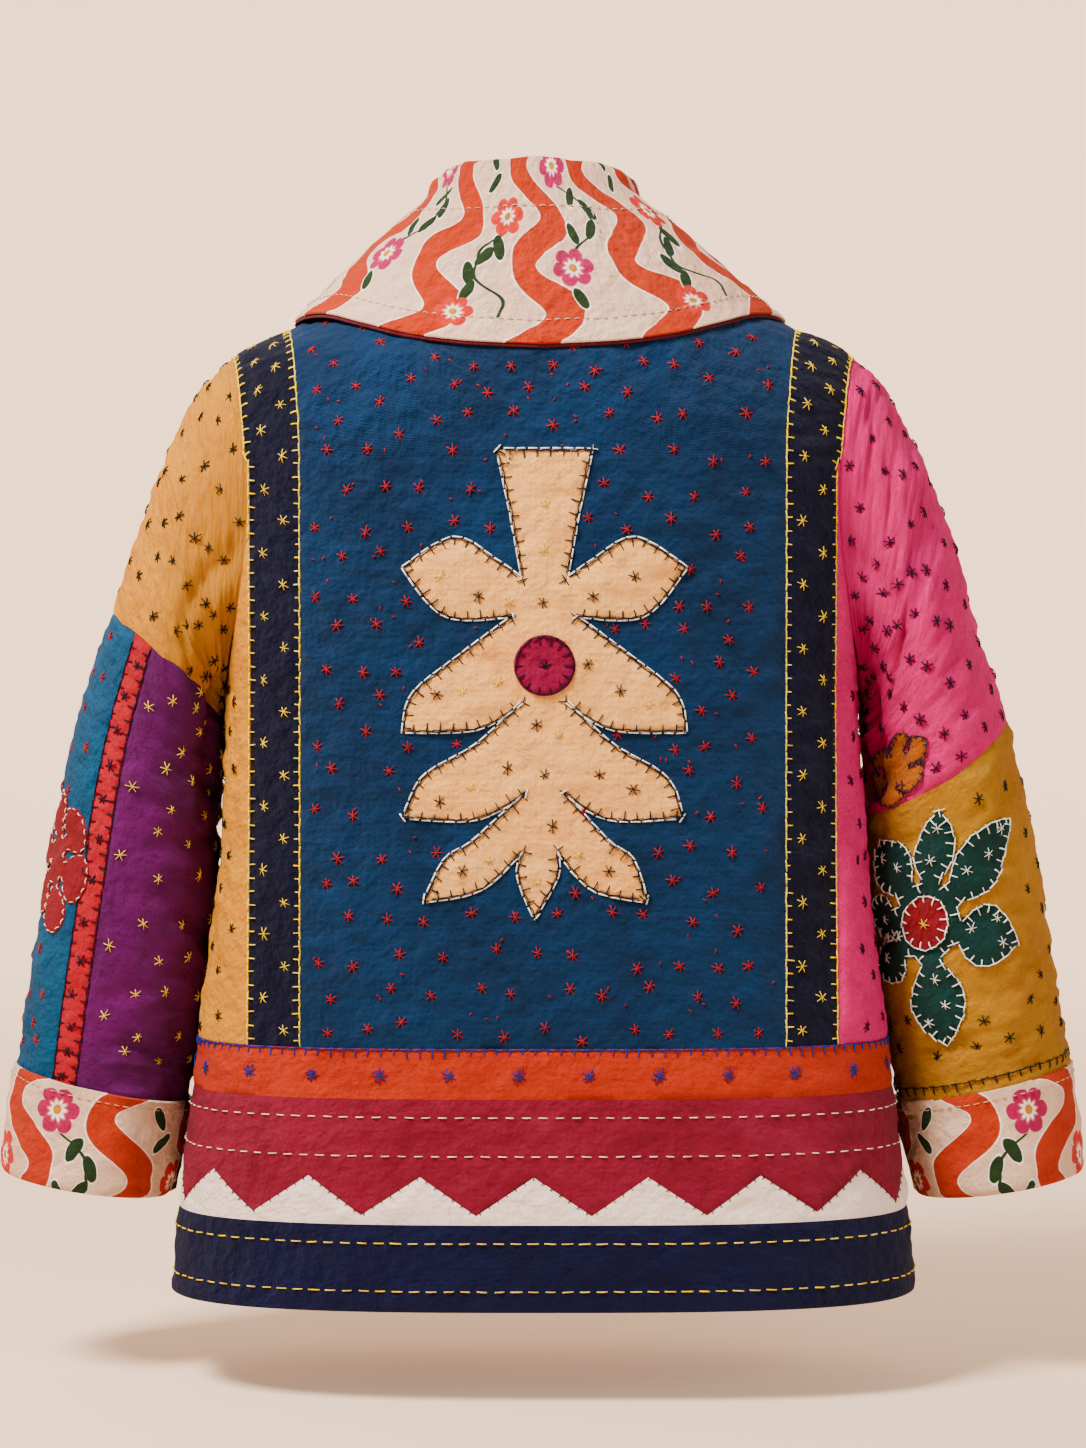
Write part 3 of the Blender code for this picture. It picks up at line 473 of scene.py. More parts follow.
# %% [markdown]
# ## Cotton
# All the plain pieces are the same soft, washed cotton in other dyes. One function makes the material:
# uneven dye, faded spots, fine threads and a weave that only shows close up. The coordinates are metres
# on the cloth, stored with each mesh, so the threads are as fine on a sleeve as on the back.


# %% Plain cotton
def node(tree, kind, values=(), **settings):
    """A node with its settings and its input values, given as index and value."""
    made = tree.nodes.new(kind)
    for key, value in settings.items():
        setattr(made, key, value)
    for index, value in dict(values).items():
        made.inputs[index].default_value = value
    return made


def linear(red, green, blue):
    """A colour given as seen, 0 to 255, as the light it reflects."""
    shares = [c / 255 for c in (red, green, blue)]
    return tuple(c / 12.92 if c < 0.0412 else ((c + 0.055) / 1.055) ** 2.4 for c in shares) + (1.0,)


def mix(tree, factor, first, second, kind="MIX"):
    """Mixes two colours; each may be a socket or a colour."""
    made = node(tree, "ShaderNodeMix", data_type="RGBA", blend_type=kind)
    for socket, value in ((made.inputs["Factor"], factor), (made.inputs[6], first), (made.inputs[7], second)):
        if isinstance(value, bpy.types.NodeSocket):
            tree.links.new(value, socket)
        else:
            socket.default_value = value
    return made.outputs[2]


def scaled(tree, socket, factor):
    """A socket's value times a number."""
    made = node(tree, "ShaderNodeMath", {1: factor}, operation="MULTIPLY")
    tree.links.new(socket, made.inputs[0])
    return made.outputs[0]


def spots(tree, where, scale, low, high, detail=3.0, rough=0.55):
    """A noise between two limits, from 0 to 1."""
    cloud = node(tree, "ShaderNodeTexNoise", {"Scale": scale, "Detail": detail, "Roughness": rough})
    tree.links.new(where, cloud.inputs["Vector"])
    span = node(tree, "ShaderNodeMapRange", {"From Min": low, "From Max": high})
    tree.links.new(cloud.outputs["Fac"], span.inputs["Value"])
    return span.outputs["Result"]


def finish_cloth(material, tree, where, colour, pucker=0.9, rough=0.9, sheen=0.03):
    """Weave, small puckers and sheen on a coloured cloth."""
    shader = tree.nodes["Principled BSDF"]
    tree.links.new(colour, shader.inputs["Base Color"])
    shader.inputs["Roughness"].default_value = rough
    shader.inputs["Sheen Weight"].default_value = sheen
    shader.inputs["Sheen Roughness"].default_value = 0.5
    shader.inputs["Specular IOR Level"].default_value = 0.08
    heights = []
    for scale, detail, strength in ((70.0, 2.5, 2.0), (160.0, 2.0, 0.9), (520.0, 3.0, 0.22)):
        cloud = node(tree, "ShaderNodeTexNoise", {"Scale": scale, "Detail": detail})
        tree.links.new(where, cloud.inputs["Vector"])
        heights.append(scaled(tree, cloud.outputs["Fac"], strength))
    for direction in ("X", "Y"):
        weave = {"Scale": 420.0, "Distortion": 1.5}
        threads = node(tree, "ShaderNodeTexWave", weave, bands_direction=direction)
        tree.links.new(where, threads.inputs["Vector"])
        heights.append(scaled(tree, threads.outputs["Fac"], 0.06))
    total = heights[0]
    for height in heights[1:]:
        add = node(tree, "ShaderNodeMath", operation="ADD")
        tree.links.new(total, add.inputs[0])
        tree.links.new(height, add.inputs[1])
        total = add.outputs[0]
    bump = node(tree, "ShaderNodeBump", {"Strength": pucker, "Distance": 0.0085})
    tree.links.new(total, bump.inputs["Height"])
    tree.links.new(bump.outputs["Normal"], shader.inputs["Normal"])
    return material


def new_cloth(name):
    material = bpy.data.materials.new(name)
    material.use_nodes = True
    tree = material.node_tree
    where = node(tree, "ShaderNodeUVMap", uv_map="metres").outputs["UV"]
    return material, tree, where


def cotton(name, colour, faded, dark, fade=0.45, pucker=0.85):
    """Dyed cotton: colour with faded spots and darker, denser ones."""
    material, tree, where = new_cloth(name)
    tone = mix(tree, spots(tree, where, 14.0, 0.35, 0.75), linear(*colour), linear(*faded))
    worn_spots = scaled(tree, spots(tree, where, 80.0, 0.46, 0.76, 6.0, 0.72), fade)
    tone = mix(tree, worn_spots, tone, linear(*faded))
    dense_spots = scaled(tree, spots(tree, where, 46.0, 0.50, 0.78, 5.0, 0.65), 0.55)
    tone = mix(tree, dense_spots, tone, linear(*dark))
    grain = spots(tree, where, 900.0, 0.2, 0.8, 2.0)
    value = node(tree, "ShaderNodeMapRange", {"To Min": 0.86, "To Max": 1.12})
    tree.links.new(grain, value.inputs["Value"])
    bright = node(tree, "ShaderNodeHueSaturation", {"Color": (1, 1, 1, 1)})
    tree.links.new(tone, bright.inputs["Color"])
    tree.links.new(value.outputs["Result"], bright.inputs["Value"])
    return finish_cloth(material, tree, where, bright.outputs["Color"], pucker)


DYES = {
    "blue": cotton("petrol_blue_cotton", (0, 30, 60), (1, 43, 80), (0, 19, 44)),
    "navy": cotton("navy_cotton", (2, 2, 26), (4, 6, 36), (0, 1, 19), 0.25),
    "hem": cotton("hem_navy_cotton", (4, 5, 40), (10, 12, 52), (2, 2, 31), 0.25),
    "mustard": cotton("mustard_cotton", (202, 126, 1), (222, 146, 3), (176, 101, 0)),
    "pink": cotton("hot_pink_cotton", (210, 0, 99), (227, 1, 117), (180, 0, 80)),
    "orange": cotton("orange_cotton", (168, 30, 0), (180, 44, 0), (146, 20, 0), 0.3),
    "raspberry": cotton("raspberry_cotton", (117, 7, 36), (133, 16, 47), (96, 4, 26), 0.35),
    "white": cotton("off_white_cotton", (255, 228, 210), (255, 236, 224), (255, 204, 184), 0.3),
    "teal": cotton("teal_cotton", (0, 61, 98), (1, 78, 114), (0, 45, 78)),
    "coral": cotton("coral_cotton", (169, 1, 25), (183, 3, 38), (145, 0, 19), 0.3),
    "purple": cotton("purple_cotton", (82, 0, 74), (102, 0, 92), (58, 0, 54), 0.35),
    "gold": cotton("gold_cotton", (165, 106, 0), (183, 127, 0), (140, 85, 0)),
    "maroon": cotton("maroon_cotton", (84, 10, 24), (100, 20, 34), (62, 6, 16), 0.3),
    "tan": cotton("tan_cotton", (242, 164, 77), (248, 184, 105), (214, 134, 57)),
    "crimson": cotton("crimson_cotton", (126, 0, 49), (142, 0, 59), (101, 0, 39), 0.25),
    "green": cotton("dark_green_cotton", (3, 42, 37), (8, 54, 48), (2, 30, 27), 0.25),
    "red": cotton("deep_red_cotton", (120, 3, 17), (137, 7, 26), (95, 2, 10), 0.3),
    "ochre": cotton("ochre_cotton", (162, 79, 0), (179, 96, 3), (136, 60, 0), 0.3),
}
print("dyes:", len(DYES))

# %% [markdown]
# ## Printed lining
# Collar, cuffs and lining are one printed cotton: orange waves with flowers and vines between them. The
# print is a repeat of 148 mm, written as formulas of the distance along and across the cloth. Formulas
# stay sharp at any distance and need no picture.


# %% Formulas as nodes
class Field:
    """A number that varies over the cloth, so that a formula can be written as one."""

    tree = None

    def __init__(self, socket):
        self.socket = socket

    @staticmethod
    def make(kind, *values, clamp=False):
        made = Field.tree.nodes.new("ShaderNodeMath")
        made.operation, made.use_clamp = kind, clamp
        for i, value in enumerate(values):
            if isinstance(value, Field):
                Field.tree.links.new(value.socket, made.inputs[i])
            else:
                made.inputs[i].default_value = float(value)
        return Field(made.outputs[0])

    def __add__(self, other):
        return Field.make("ADD", self, other)

    def __sub__(self, other):
        return Field.make("SUBTRACT", self, other)

    def __mul__(self, other):
        return Field.make("MULTIPLY", self, other)

    def __truediv__(self, other):
        return Field.make("DIVIDE", self, other)


def wave(field, length, shift=0.0):
    return Field.make("SINE", Field.make("MULTIPLY_ADD", field, 2 * math.pi / length, shift))


def magnitude(field):
    return Field.make("ABSOLUTE", field)


def within(field, edge, soft=0.00025):
    """1 where the field is below an edge, 0 above it."""
    return Field.make("MULTIPLY_ADD", field, -0.5 / soft, 0.5 * edge / soft + 0.5, clamp=True)


def both(first, second):
    return Field.make("MULTIPLY", first, second)


def either(first, second):
    return Field.make("MAXIMUM", first, second)


# %% The print
REPEAT = 0.148
STRIPE = REPEAT / 2
SWING = 0.0150
GROUND, WAVE, OUTLINE = (228, 186, 156), (174, 41, 0), (255, 240, 224)
LEAF, EYE, SOIL = (30, 50, 20), (190, 120, 1), (206, 166, 132)
PINK_PETAL, ORANGE_PETAL, BLUSH = (168, 2, 76), (195, 34, 22), (238, 150, 140)
# across, up, radius and whether it is pink
BLOOMS = (
    (0.0230, 0.0200, 0.0160, True),
    (0.1225, 0.0570, 0.0150, False),
    (0.0250, 0.0950, 0.0150, True),
    (0.0960, 0.1290, 0.0120, False),
)
# across, up, angle in degrees and length
SPRIGS = (
    (0.1180, 0.0800, 75, 0.0095),
    (0.1080, 0.0870, 128, 0.0090),
    (0.0990, 0.1000, 70, 0.0092),
    (0.1010, 0.1130, 115, 0.0082),
    (0.0970, 0.0140, 60, 0.0088),
    (0.1020, 0.0310, 130, 0.0084),
    (0.0390, 0.0420, 118, 0.0090),
    (0.0520, 0.0520, 62, 0.0094),
    (0.0470, 0.0670, 125, 0.0086),
    (0.0310, 0.0700, 75, 0.0080),
    (0.0260, 0.1180, 70, 0.0078),
)


def bloom(u, v, across, up, radius):
    """Masks of a six-petalled flower: petals, blush, white star and eye."""
    x, y = u - across, v - up
    r = Field.make("SQRT", x * x + y * y)
    turn = Field.make("ARCTAN2", y, x)
    lobe = magnitude(Field.make("COSINE", turn * 3.0 + 0.4))
    rounded = Field.make("POWER", lobe, 0.55)
    petal = within(r - Field.make("MULTIPLY_ADD", rounded, 0.34 * radius, 0.66 * radius), 0)
    star = magnitude(Field.make("COSINE", turn * 5.0))
    inner = Field.make("MULTIPLY_ADD", star, 0.20 * radius, 0.24 * radius)
    return petal, within(r - inner, 0.0008, 0.0014), within(r - inner, 0), within(r, 0.20 * radius)


def printed(name):
    """The lining's print as a material."""
    material, tree, where = new_cloth(name)
    Field.tree = tree
    split = node(tree, "ShaderNodeSeparateXYZ")
    tree.links.new(where, split.inputs[0])
    wobble = node(tree, "ShaderNodeTexNoise", {"Scale": 60.0, "Detail": 2.0})
    tree.links.new(where, wobble.inputs["Vector"])
    shift = (Field(wobble.outputs["Fac"]) - 0.5) * 0.0030
    across, up = Field(split.outputs["X"]) + shift, Field(split.outputs["Y"]) + shift
    u = Field.make("FLOORED_MODULO", across, REPEAT)
    v = Field.make("FLOORED_MODULO", up, REPEAT)
    bend = across + (wave(up, STRIPE) + wave(up, REPEAT, 0.8) * 0.35) * SWING
    slope = Field.make("COSINE", up * (2 * math.pi / STRIPE)) * (SWING * 2 * math.pi / STRIPE)
    straight = Field.make("SQRT", slope * slope + 1.0)
    off = magnitude(Field.make("FLOORED_MODULO", bend + STRIPE / 2, STRIPE) - STRIPE / 2) / straight
    from_wave = Field.make("MULTIPLY_ADD", wave(up, STRIPE * 0.8, 0.5), 0.0016, off)
    tone = mix(tree, within(from_wave, 0.0109).socket, linear(*GROUND), linear(*OUTLINE))
    tone = mix(tree, within(from_wave, 0.0099).socket, tone, linear(*WAVE))
    place = Field.make("FLOORED_MODULO", bend, REPEAT) + wave(up, STRIPE / 3) * 0.0024
    green = None
    for middle, low, high in ((STRIPE / 2, 0.034, 0.082), (STRIPE * 1.5, 0.068, 0.132)):
        stem = within(magnitude(place - middle) / straight, 0.0011)
        here = both(stem, both(within(v, high), within(v * -1.0, -low)))
        green = here if green is None else either(green, here)
    edge = green
    for place_u, place_v, angle, length in SPRIGS:
        c, s = math.cos(math.radians(angle)), math.sin(math.radians(angle))
        x, y = u - place_u, v - place_v
        long = (x * c + y * s) * (1 / length)
        wide = (y * c - x * s) * (1 / (length * 0.46))
        size = long * long + wide * wide
        green = either(green, within(size, 1.0, 0.06))
        edge = either(edge, within(size, 1.35, 0.08))
    tone = mix(tree, edge.socket, tone, linear(*OUTLINE))
    tone = mix(tree, green.socket, tone, linear(*LEAF))
    for place_u, place_v, radius, pink in BLOOMS:
        petal, blush, bright, eye = bloom(u, v, place_u, place_v, radius)
        tone = mix(tree, petal.socket, tone, linear(*(PINK_PETAL if pink else ORANGE_PETAL)))
        tone = mix(tree, both(blush, petal).socket, tone, linear(*BLUSH))
        tone = mix(tree, bright.socket, tone, linear(*OUTLINE))
        tone = mix(tree, eye.socket, tone, linear(*EYE))
    faint = scaled(tree, spots(tree, where, 70.0, 0.5, 0.8, 5.0, 0.65), 0.012)
    tone = mix(tree, faint, tone, linear(*GROUND))
    soiled = scaled(tree, spots(tree, where, 12.0, 0.45, 0.8), 0.3)
    tone = mix(tree, soiled, tone, linear(*SOIL), "MULTIPLY")
    return finish_cloth(material, tree, where, tone, 0.8)


PRINT = printed("printed_cotton")
print("print nodes:", len(PRINT.node_tree.nodes))

# %% [markdown]
# ## The body of the jacket
# A worn jacket hangs as one tube: centre back, strips, sides and fronts, then four bands round the
# hem. Each panel is a fine grid laid on the body's surface. Its edges are held down, as a seam holds
# them, so a soft groove shows where two colours meet.


# %% Panels of the body
STEP = 0.0042
SEAM = 0.0003
HALF = SEAM / 2
LINING = PRINT


def mirrored(points, side):
    return points * np.array([side, 1, 1])


def spaced(start, stop, step=STEP):
    return np.linspace(start, stop, max(3, int(abs(stop - start) / step) + 1))


def rows_up(top=1.53):
    """Heights from the waist to the shoulder, then steps round the shoulder."""
    low = spaced(WAIST + HALF, ROUND_FROM)
    return np.concatenate([low, spaced(ROUND_FROM, top, 0.0168)[1:]])


def heights(points):
    """Length along the cloth for each row, counted from the waist."""
    return WAIST + run_along(points[:, points.shape[1] // 2])


def panel(cloth, points, side=1, fade=(True, True, True, True), u=None):
    """Adds a body grid with metres for coordinates."""
    normals = body_normals(points)
    v = heights(points)
    if u is None:
        u = points[..., 0]
    uv = np.stack([u * side, np.broadcast_to(v[:, None], u.shape)], -1)
    return cloth.grid(mirrored(points, side), mirrored(normals, side), uv, fade)


def centre_back():
    points = []
    for q in rows_up():
        edge = smooth(STRIP, q) - HALF
        t = ease((q - 0.8) / 0.5)
        even = np.linspace(-1, 1, 81)
        round_neck = np.sign(even) * np.interp(np.abs(even), (0, 0.62, 1), (0, NECK_HALF / edge, 1))
        points.append(body((even * (1 - t) + round_neck * t) * edge, q, -1))
    points = np.array(points)
    points[-1, :, 1] -= HALF
    return panel(Cloth(11), points).build("back_panel", WALL, DYES["blue"], LINING)


def front(name, side):
    points = []
    for q in rows_up():
        edge = smooth(STRIP, q) - HALF
        t = ease((q - 0.8) / 0.5)
        even = np.linspace(0, 1, 38)
        near = np.interp(even, (0, 0.62, 1), (FRONT_GAP, NECK_HALF, edge))
        points.append(body((FRONT_GAP + (edge - FRONT_GAP) * even) * (1 - t) + near * t, q, 1))
    points = np.array(points)
    points[-1, :, 1] += HALF
    return panel(Cloth(23 + side), points, side).build(name, WALL, DYES["blue"], LINING)


def strip(name, side):
    rows = rows_up()
    below, above = rows[rows < ROUND_FROM - 0.001], rows[rows > ROUND_FROM + 0.001]
    rows = np.concatenate([below, [ROUND_FROM - HALF, ROUND_FROM + 0.0005], above])
    points = []
    for face, order in ((-1, rows), (1, rows[-2::-1])):
        for q in order:
            inner = smooth(STRIP, q) + HALF
            outer = smooth(ARM_EDGE, q) if q > ROUND_FROM else STRIP_OUTER - HALF
            points.append(body(np.linspace(inner, outer, 10), q, face))
    return panel(Cloth(31 + side), np.array(points), side).build(name, WALL, DYES["navy"], LINING)


def side_panel(name, side, dye):
    above = ARMPIT + (ROUND_FROM - HALF - ARMPIT) * np.linspace(0, 1, 40)[1:] ** 1.4
    rows = np.concatenate([spaced(WAIST + HALF, ARMPIT), above])
    cloth = Cloth(41 + side)
    under = None
    for face in (-1, 1):
        points = []
        for z in rows:
            start = turn_of(STRIP_OUTER + HALF, z)
            end = armhole_turn(z, face) if z > ARMPIT else 90.0
            turns = np.linspace(start, end, 34)
            points.append(flank(turns if face < 0 else 180 - turns, z, 1))
        points = np.array(points)
        length = lengths(points, 1)
        u = length if face < 0 else under + length[:, -1:] - length
        under = length[:, -1:]
        open_side = (rows > ARMPIT)[:, None]
        panel(cloth, points, side, (True, True, True, open_side), u)
    return cloth.build(name, WALL, dye, LINING)


centre_back()
for word, side, dye in (("left", -1, "mustard"), ("right", 1, "pink")):
    front("front_" + word, side)
    strip("strip_" + word, side)
    side_panel("side_" + word, side, DYES[dye])

# %% [markdown]
# ## The four bands
# The bands run round the whole jacket. The seam between the red and the white one is a zigzag, so the
# cloth is cut in points. The grid's columns follow that line: each column starts and ends where the
# zigzag is at its place.


# %% Bands
def zigzag(s):
    """Height of the zigzag seam at a distance s round from the middle of the back."""
    t = ((s + 0.0056) / ZIGZAG) % 1.0
    return WHITE_VALLEY + (WHITE_PEAK - WHITE_VALLEY) * np.abs(1 - 2 * t)


BAND_LINE = flank(np.linspace(0, 180, 1441), 0.071, 1)
BAND_WAY = run_along(BAND_LINE)
BAND_END = float(BAND_WAY[-1] - FRONT_GAP)


def band_point(s, z):
    """Point of the body at a distance s round from the middle of the back."""
    s, z = np.broadcast_arrays(np.asarray(s, float), np.asarray(z, float))
    turns = np.interp(np.abs(s), BAND_WAY, np.linspace(0, 180, 1441))
    points = flank(turns, z, 1)
    points[..., 0] *= np.where(s < 0, -1.0, 1.0)
    return points


def band(name, low, high, dye, seed):
    spots = [np.array([-BAND_END, BAND_END])]
    corners = -0.0056 + ZIGZAG * 0.5 * np.arange(-30, 31)
    for start, stop in zip(corners[:-1], corners[1:]):
        spots.append(np.linspace(start, stop, 9))
    s = np.unique(np.round(np.concatenate(spots), 6))
    s = s[np.abs(s) <= BAND_END]
    bottom, top = low(s), high(s)
    rows = max(4, int(float(np.max(top - bottom)) / 0.0035))
    z = bottom + (top - bottom) * np.linspace(0, 1, rows)[:, None]
    points = band_point(np.broadcast_to(s, z.shape), z)
    uv = np.stack([np.broadcast_to(s, z.shape), z], -1)
    cloth = Cloth(seed, 0.8).grid(points, body_normals(points), uv)
    return cloth.build(name, WALL, DYES[dye], LINING)


def at_height(value):
    return lambda s: np.full(len(s), float(value))


band("band_orange", at_height(ORANGE_LOW + HALF), at_height(WAIST - HALF), "orange", 51)
band("band_raspberry", lambda s: zigzag(s) + SEAM, at_height(ORANGE_LOW - HALF), "raspberry", 52)
band("band_white", at_height(NAVY_TOP + HALF), lambda s: zigzag(s) - HALF, "white", 53)
band("band_navy", at_height(0.0), at_height(NAVY_TOP - HALF), "hem", 54)
print("bands run", round(2 * BAND_END, 3), "m round the jacket")

# %% [markdown]
# ## Sleeves
# A sleeve is a tapering tube that bends a little forward. The cloth stays flat along the outside and
# crumples where the arm hangs against the body. Those folds aren't random: they are placed one by one, at
# the armpit and inside the elbow, and then a few more of the same kind on the front.


# %% Sleeve cloth
SLEEVE_U = 0.072
# angle, ring, half angle, half length in rings, slope in rings per degree, depth
CREASES = (
    (100.0, 1.5, 6.0, 1.4, 0.030, 0.0046),
    (148.0, 2.4, 7.0, 1.7, 0.020, 0.0060),
    (118.0, 3.1, 22.0, 0.22, 0.018, 0.0040),
    (165.0, 4.9, 30.0, 0.17, 0.004, 0.0052),
    (132.0, 4.4, 20.0, 0.14, -0.012, 0.0030),
    (140.0, 5.7, 34.0, 0.15, -0.006, 0.0044),
    (158.0, 6.8, 28.0, 0.17, 0.008, 0.0046),
    (112.0, 7.5, 26.0, 0.13, -0.006, 0.0028),
    (120.0, 8.3, 36.0, 0.15, 0.004, 0.0034),
    (60.0, 6.3, 24.0, 0.15, 0.006, 0.0024),
    (255.0, 1.7, 7.0, 1.4, -0.028, 0.0044),
    (214.0, 5.3, 32.0, 0.17, -0.006, 0.0044),
    (232.0, 6.4, 26.0, 0.15, 0.008, 0.0032),
    (200.0, 7.5, 30.0, 0.17, -0.004, 0.0040),
    (300.0, 3.1, 30.0, 0.20, 0.006, 0.0022),
    (52.0, 2.6, 26.0, 0.22, -0.006, 0.0022),
    (176.0, 6.6, 48.0, 2.6, 0.0, -0.0040),
)


def crumple(angle, k):
    """Depth of the listed creases on a sleeve."""
    depth = np.zeros(np.broadcast(angle, k).shape)
    for at, middle, wide, long, slope, deep in CREASES:
        off = (angle - at + 180) % 360 - 180
        run = k - middle - slope * off
        depth += deep * np.exp(-((off / wide) ** 2) - (run / long) ** 2)
    return depth * np.clip(k / 0.5, 0, 1) * np.clip((9.0 - k) / 0.6, 0, 1)


def worn(angle, k, side):
    """Sleeve surface with its creases, and its normals."""
    n = sleeve_normals(angle, k, side)
    return sleeve(angle, k, side) - n * crumple(angle, k)[..., None], n


def level(value):
    return lambda angles: np.full(len(angles), float(value))


def seam(table, way):
    """A seam's ring at each angle, moved half a seam's width up (-1) or down (1)."""
    places, rings = [r[0] for r in table], [r[1] for r in table]
    return lambda angles: np.interp(np.asarray(angles) % 360, places, rings) + way * 0.003


def sleeve_piece(name, side, dye, start, stop, low, high, seed, set_in=False):
    angles = spaced(start, stop, 3.3)
    longest = float(np.max(high(angles) - low(angles))) * RING_STEP
    t = np.linspace(0, 1, int(longest / STEP) + 1)[:, None]
    k = low(angles) * (1 - t) + high(angles) * t
    a = np.broadcast_to(angles, k.shape)
    points, normals = worn(a, k, side)
    if set_in:
        edge = unit(loop_at(angles, body_normals(LOOP))) * np.array([side, 1, 1])
        off = np.abs((angles + 180) % 360 - 180)
        own = ease((off - 90) / 60)[:, None]
        for row in range(3):
            share = (1 - own) * (1 - row / 3)
            normals[row] = unit(edge * share + normals[row] * (1 - share))
    uv = np.stack([np.radians(a) * SLEEVE_U, -k * RING_STEP], -1)
    cloth = Cloth(seed, 1.1).grid(points, normals, uv)
    return cloth.build(name, WALL, DYES[dye], LINING)


end = level(SLEEVE_END)
sleeve_piece("sleeve_upper_left", -1, "mustard", 180, 540, level(0), seam(SEAM_LEFT, -1), 61, True)
sleeve_piece("gore_teal", -1, "teal", 265.13, 421.87, seam(SEAM_LEFT, 1), end, 62)
sleeve_piece("gore_coral", -1, "coral", 62.13, 79.87, seam(SEAM_LEFT, 1), end, 63)
sleeve_piece("gore_purple_left", -1, "purple", 80.13, 264.87, seam(SEAM_LEFT, 1), end, 64)
sleeve_piece("sleeve_upper_right", 1, "pink", 180, 540, level(0), seam(SEAM_RIGHT, -1), 71, True)
sleeve_piece("gore_gold", 1, "gold", -5.87, 179.87, seam(SEAM_RIGHT, 1), end, 72)
sleeve_piece("gore_purple_right", 1, "purple", 180.13, 353.87, seam(SEAM_RIGHT, 1), end, 73)
print("sleeves reach", round(SLEEVE_END * RING_STEP, 3), "m down")

# %% [markdown]
# ## Collar and cuffs
# The collar stands up at the neck, folds over and lies on the shoulders. The cuffs are the sleeve's own
# lining turned up. Both are closed strips with a soft round fold, so both come from a profile that is
# carried along: round the neck for the collar, round the wrist for the cuffs.


# %% Collar
def collar_path(turn):
    """Outer face of the folded collar from its free edge over the fold to the neck."""
    side = 1.0 if turn >= 0 else -1.0
    way = abs(turn)
    face = -1 if way <= 90 else 1
    s, c = math.sin(math.radians(way)), math.cos(math.radians(way))
    lying = body(np.array([COLLAR_HALF * s]), float(smooth(COLLAR, way)), face, False)
    edge = (lying + body_normals(lying) * COLLAR_CLEAR)[0]
    neck = body(np.array([NECK_HALF * s]), ROUND_FROM + 1, face)[0] + np.array([0, 0, 0.0012])
    out = np.array([s, -c, 0.0])
    tall, lean = float(smooth(COLLAR, way, 2)), float(smooth(COLLAR, way, 3))
    fold = neck + out * lean + np.array([0, 0, tall])
    drop = fold - np.array([0, 0, 0.008]) + out * 0.0060
    rise = fold - np.array([0, 0, 0.008]) - out * 0.0060
    path = [edge, edge * 0.67 + drop * 0.33, edge * 0.33 + drop * 0.67, drop]
    below = np.array([0, 0, 0.0018])
    path += [fold + out * 0.0045 - below, fold, fold - out * 0.0045 - below]
    path += [rise, 0.5 * rise + 0.5 * neck, neck]
    return np.array(path) * np.array([side, 1, 1])


def along_path(path, places):
    """A smooth line through points, read at shares of its length."""
    way = run_along(path)
    read = [smooth(np.stack([way, path[:, i]], -1), places * way[-1]) for i in range(3)]
    return np.stack(read, -1), way[-1]


def collar_grid():
    """Points, normals and metres of the upper collar."""
    ends = np.linspace(150, COLLAR_END, 8)[1:]
    turns = np.concatenate([-ends[::-1], np.linspace(-150, 150, 181), ends])
    share = np.linspace(0, 1, 44)
    columns, lengths = zip(*(along_path(collar_path(t), share) for t in turns))
    points = np.array(columns).transpose(1, 0, 2)
    n = unit(np.cross(np.gradient(points, axis=1), np.gradient(points, axis=0)))
    middle = points[12].mean(axis=0)
    if (n[0, len(turns) // 2] * (points[0, len(turns) // 2] - middle)).sum() < 0:
        n = -n
    moved = points + np.array([COLLAR_SHIFT, 0, 0]) * np.clip((points[..., 2:3] - 0.60) / 0.10, 0.3, 1)
    u = run_along(moved[6])
    u = u - u[len(turns) // 2]
    v = -share[:, None] * np.array(lengths)[None, :]
    return moved, n, np.stack([np.broadcast_to(u, v.shape), v], -1)


COLLAR_POINTS, COLLAR_NORMALS, COLLAR_UV = collar_grid()
Cloth(81, 0.7).grid(COLLAR_POINTS, COLLAR_NORMALS, COLLAR_UV).build("collar", COLLAR_WALL, PRINT, LINING)
under = COLLAR_POINTS - COLLAR_NORMALS * (COLLAR_WALL + SEAM)
under[0] += unit(COLLAR_POINTS[0] - COLLAR_POINTS[1]) * COLLAR_WALL
under_cloth = Cloth(81, 0.7).grid(under, COLLAR_NORMALS, COLLAR_UV)
under_cloth.build("under_collar", UNDER_COLLAR_WALL, DYES["maroon"], DYES["maroon"])


# %% Cuffs
CUFF_SECTION = (
    (-0.0006, 0.0024),
    (0.0006, 0.0037),
    (0.5 * CUFF_HEIGHT, 0.0043),
    (CUFF_HEIGHT - 0.003, 0.0037),
    (CUFF_HEIGHT, 0.0014),
    (CUFF_HEIGHT, -0.0038),
    (CUFF_HEIGHT - 0.003, -0.0056),
    (CUFF_HEIGHT - 0.024, -0.0056),
    (CUFF_HEIGHT - 0.024, -0.0034),
    (CUFF_HEIGHT - 0.0042, -0.0034),
    (CUFF_HEIGHT - 0.0030, -0.0026),
    (CUFF_HEIGHT - 0.0030, 0.0002),
    (CUFF_HEIGHT - 0.0045, 0.0012),
    (0.5 * CUFF_HEIGHT, 0.0012),
    (0.0, 0.0012),
)


def closed_shell(name, points, quads, uv, material):
    """A mesh that is closed by itself, from points that repeat along its joins."""
    first, same = joined(points)
    faces, verts = same[quads], points[first]
    a, b, c = verts[faces[:, 0]], verts[faces[:, 1]], verts[faces[:, 2]]
    if np.einsum("ij,ij->", a, np.cross(b, c)) < 0:
        faces, quads = faces[:, ::-1], quads[:, ::-1]
    return new_object(name, verts, faces, uv[quads].reshape(-1, 2), (material,), None)


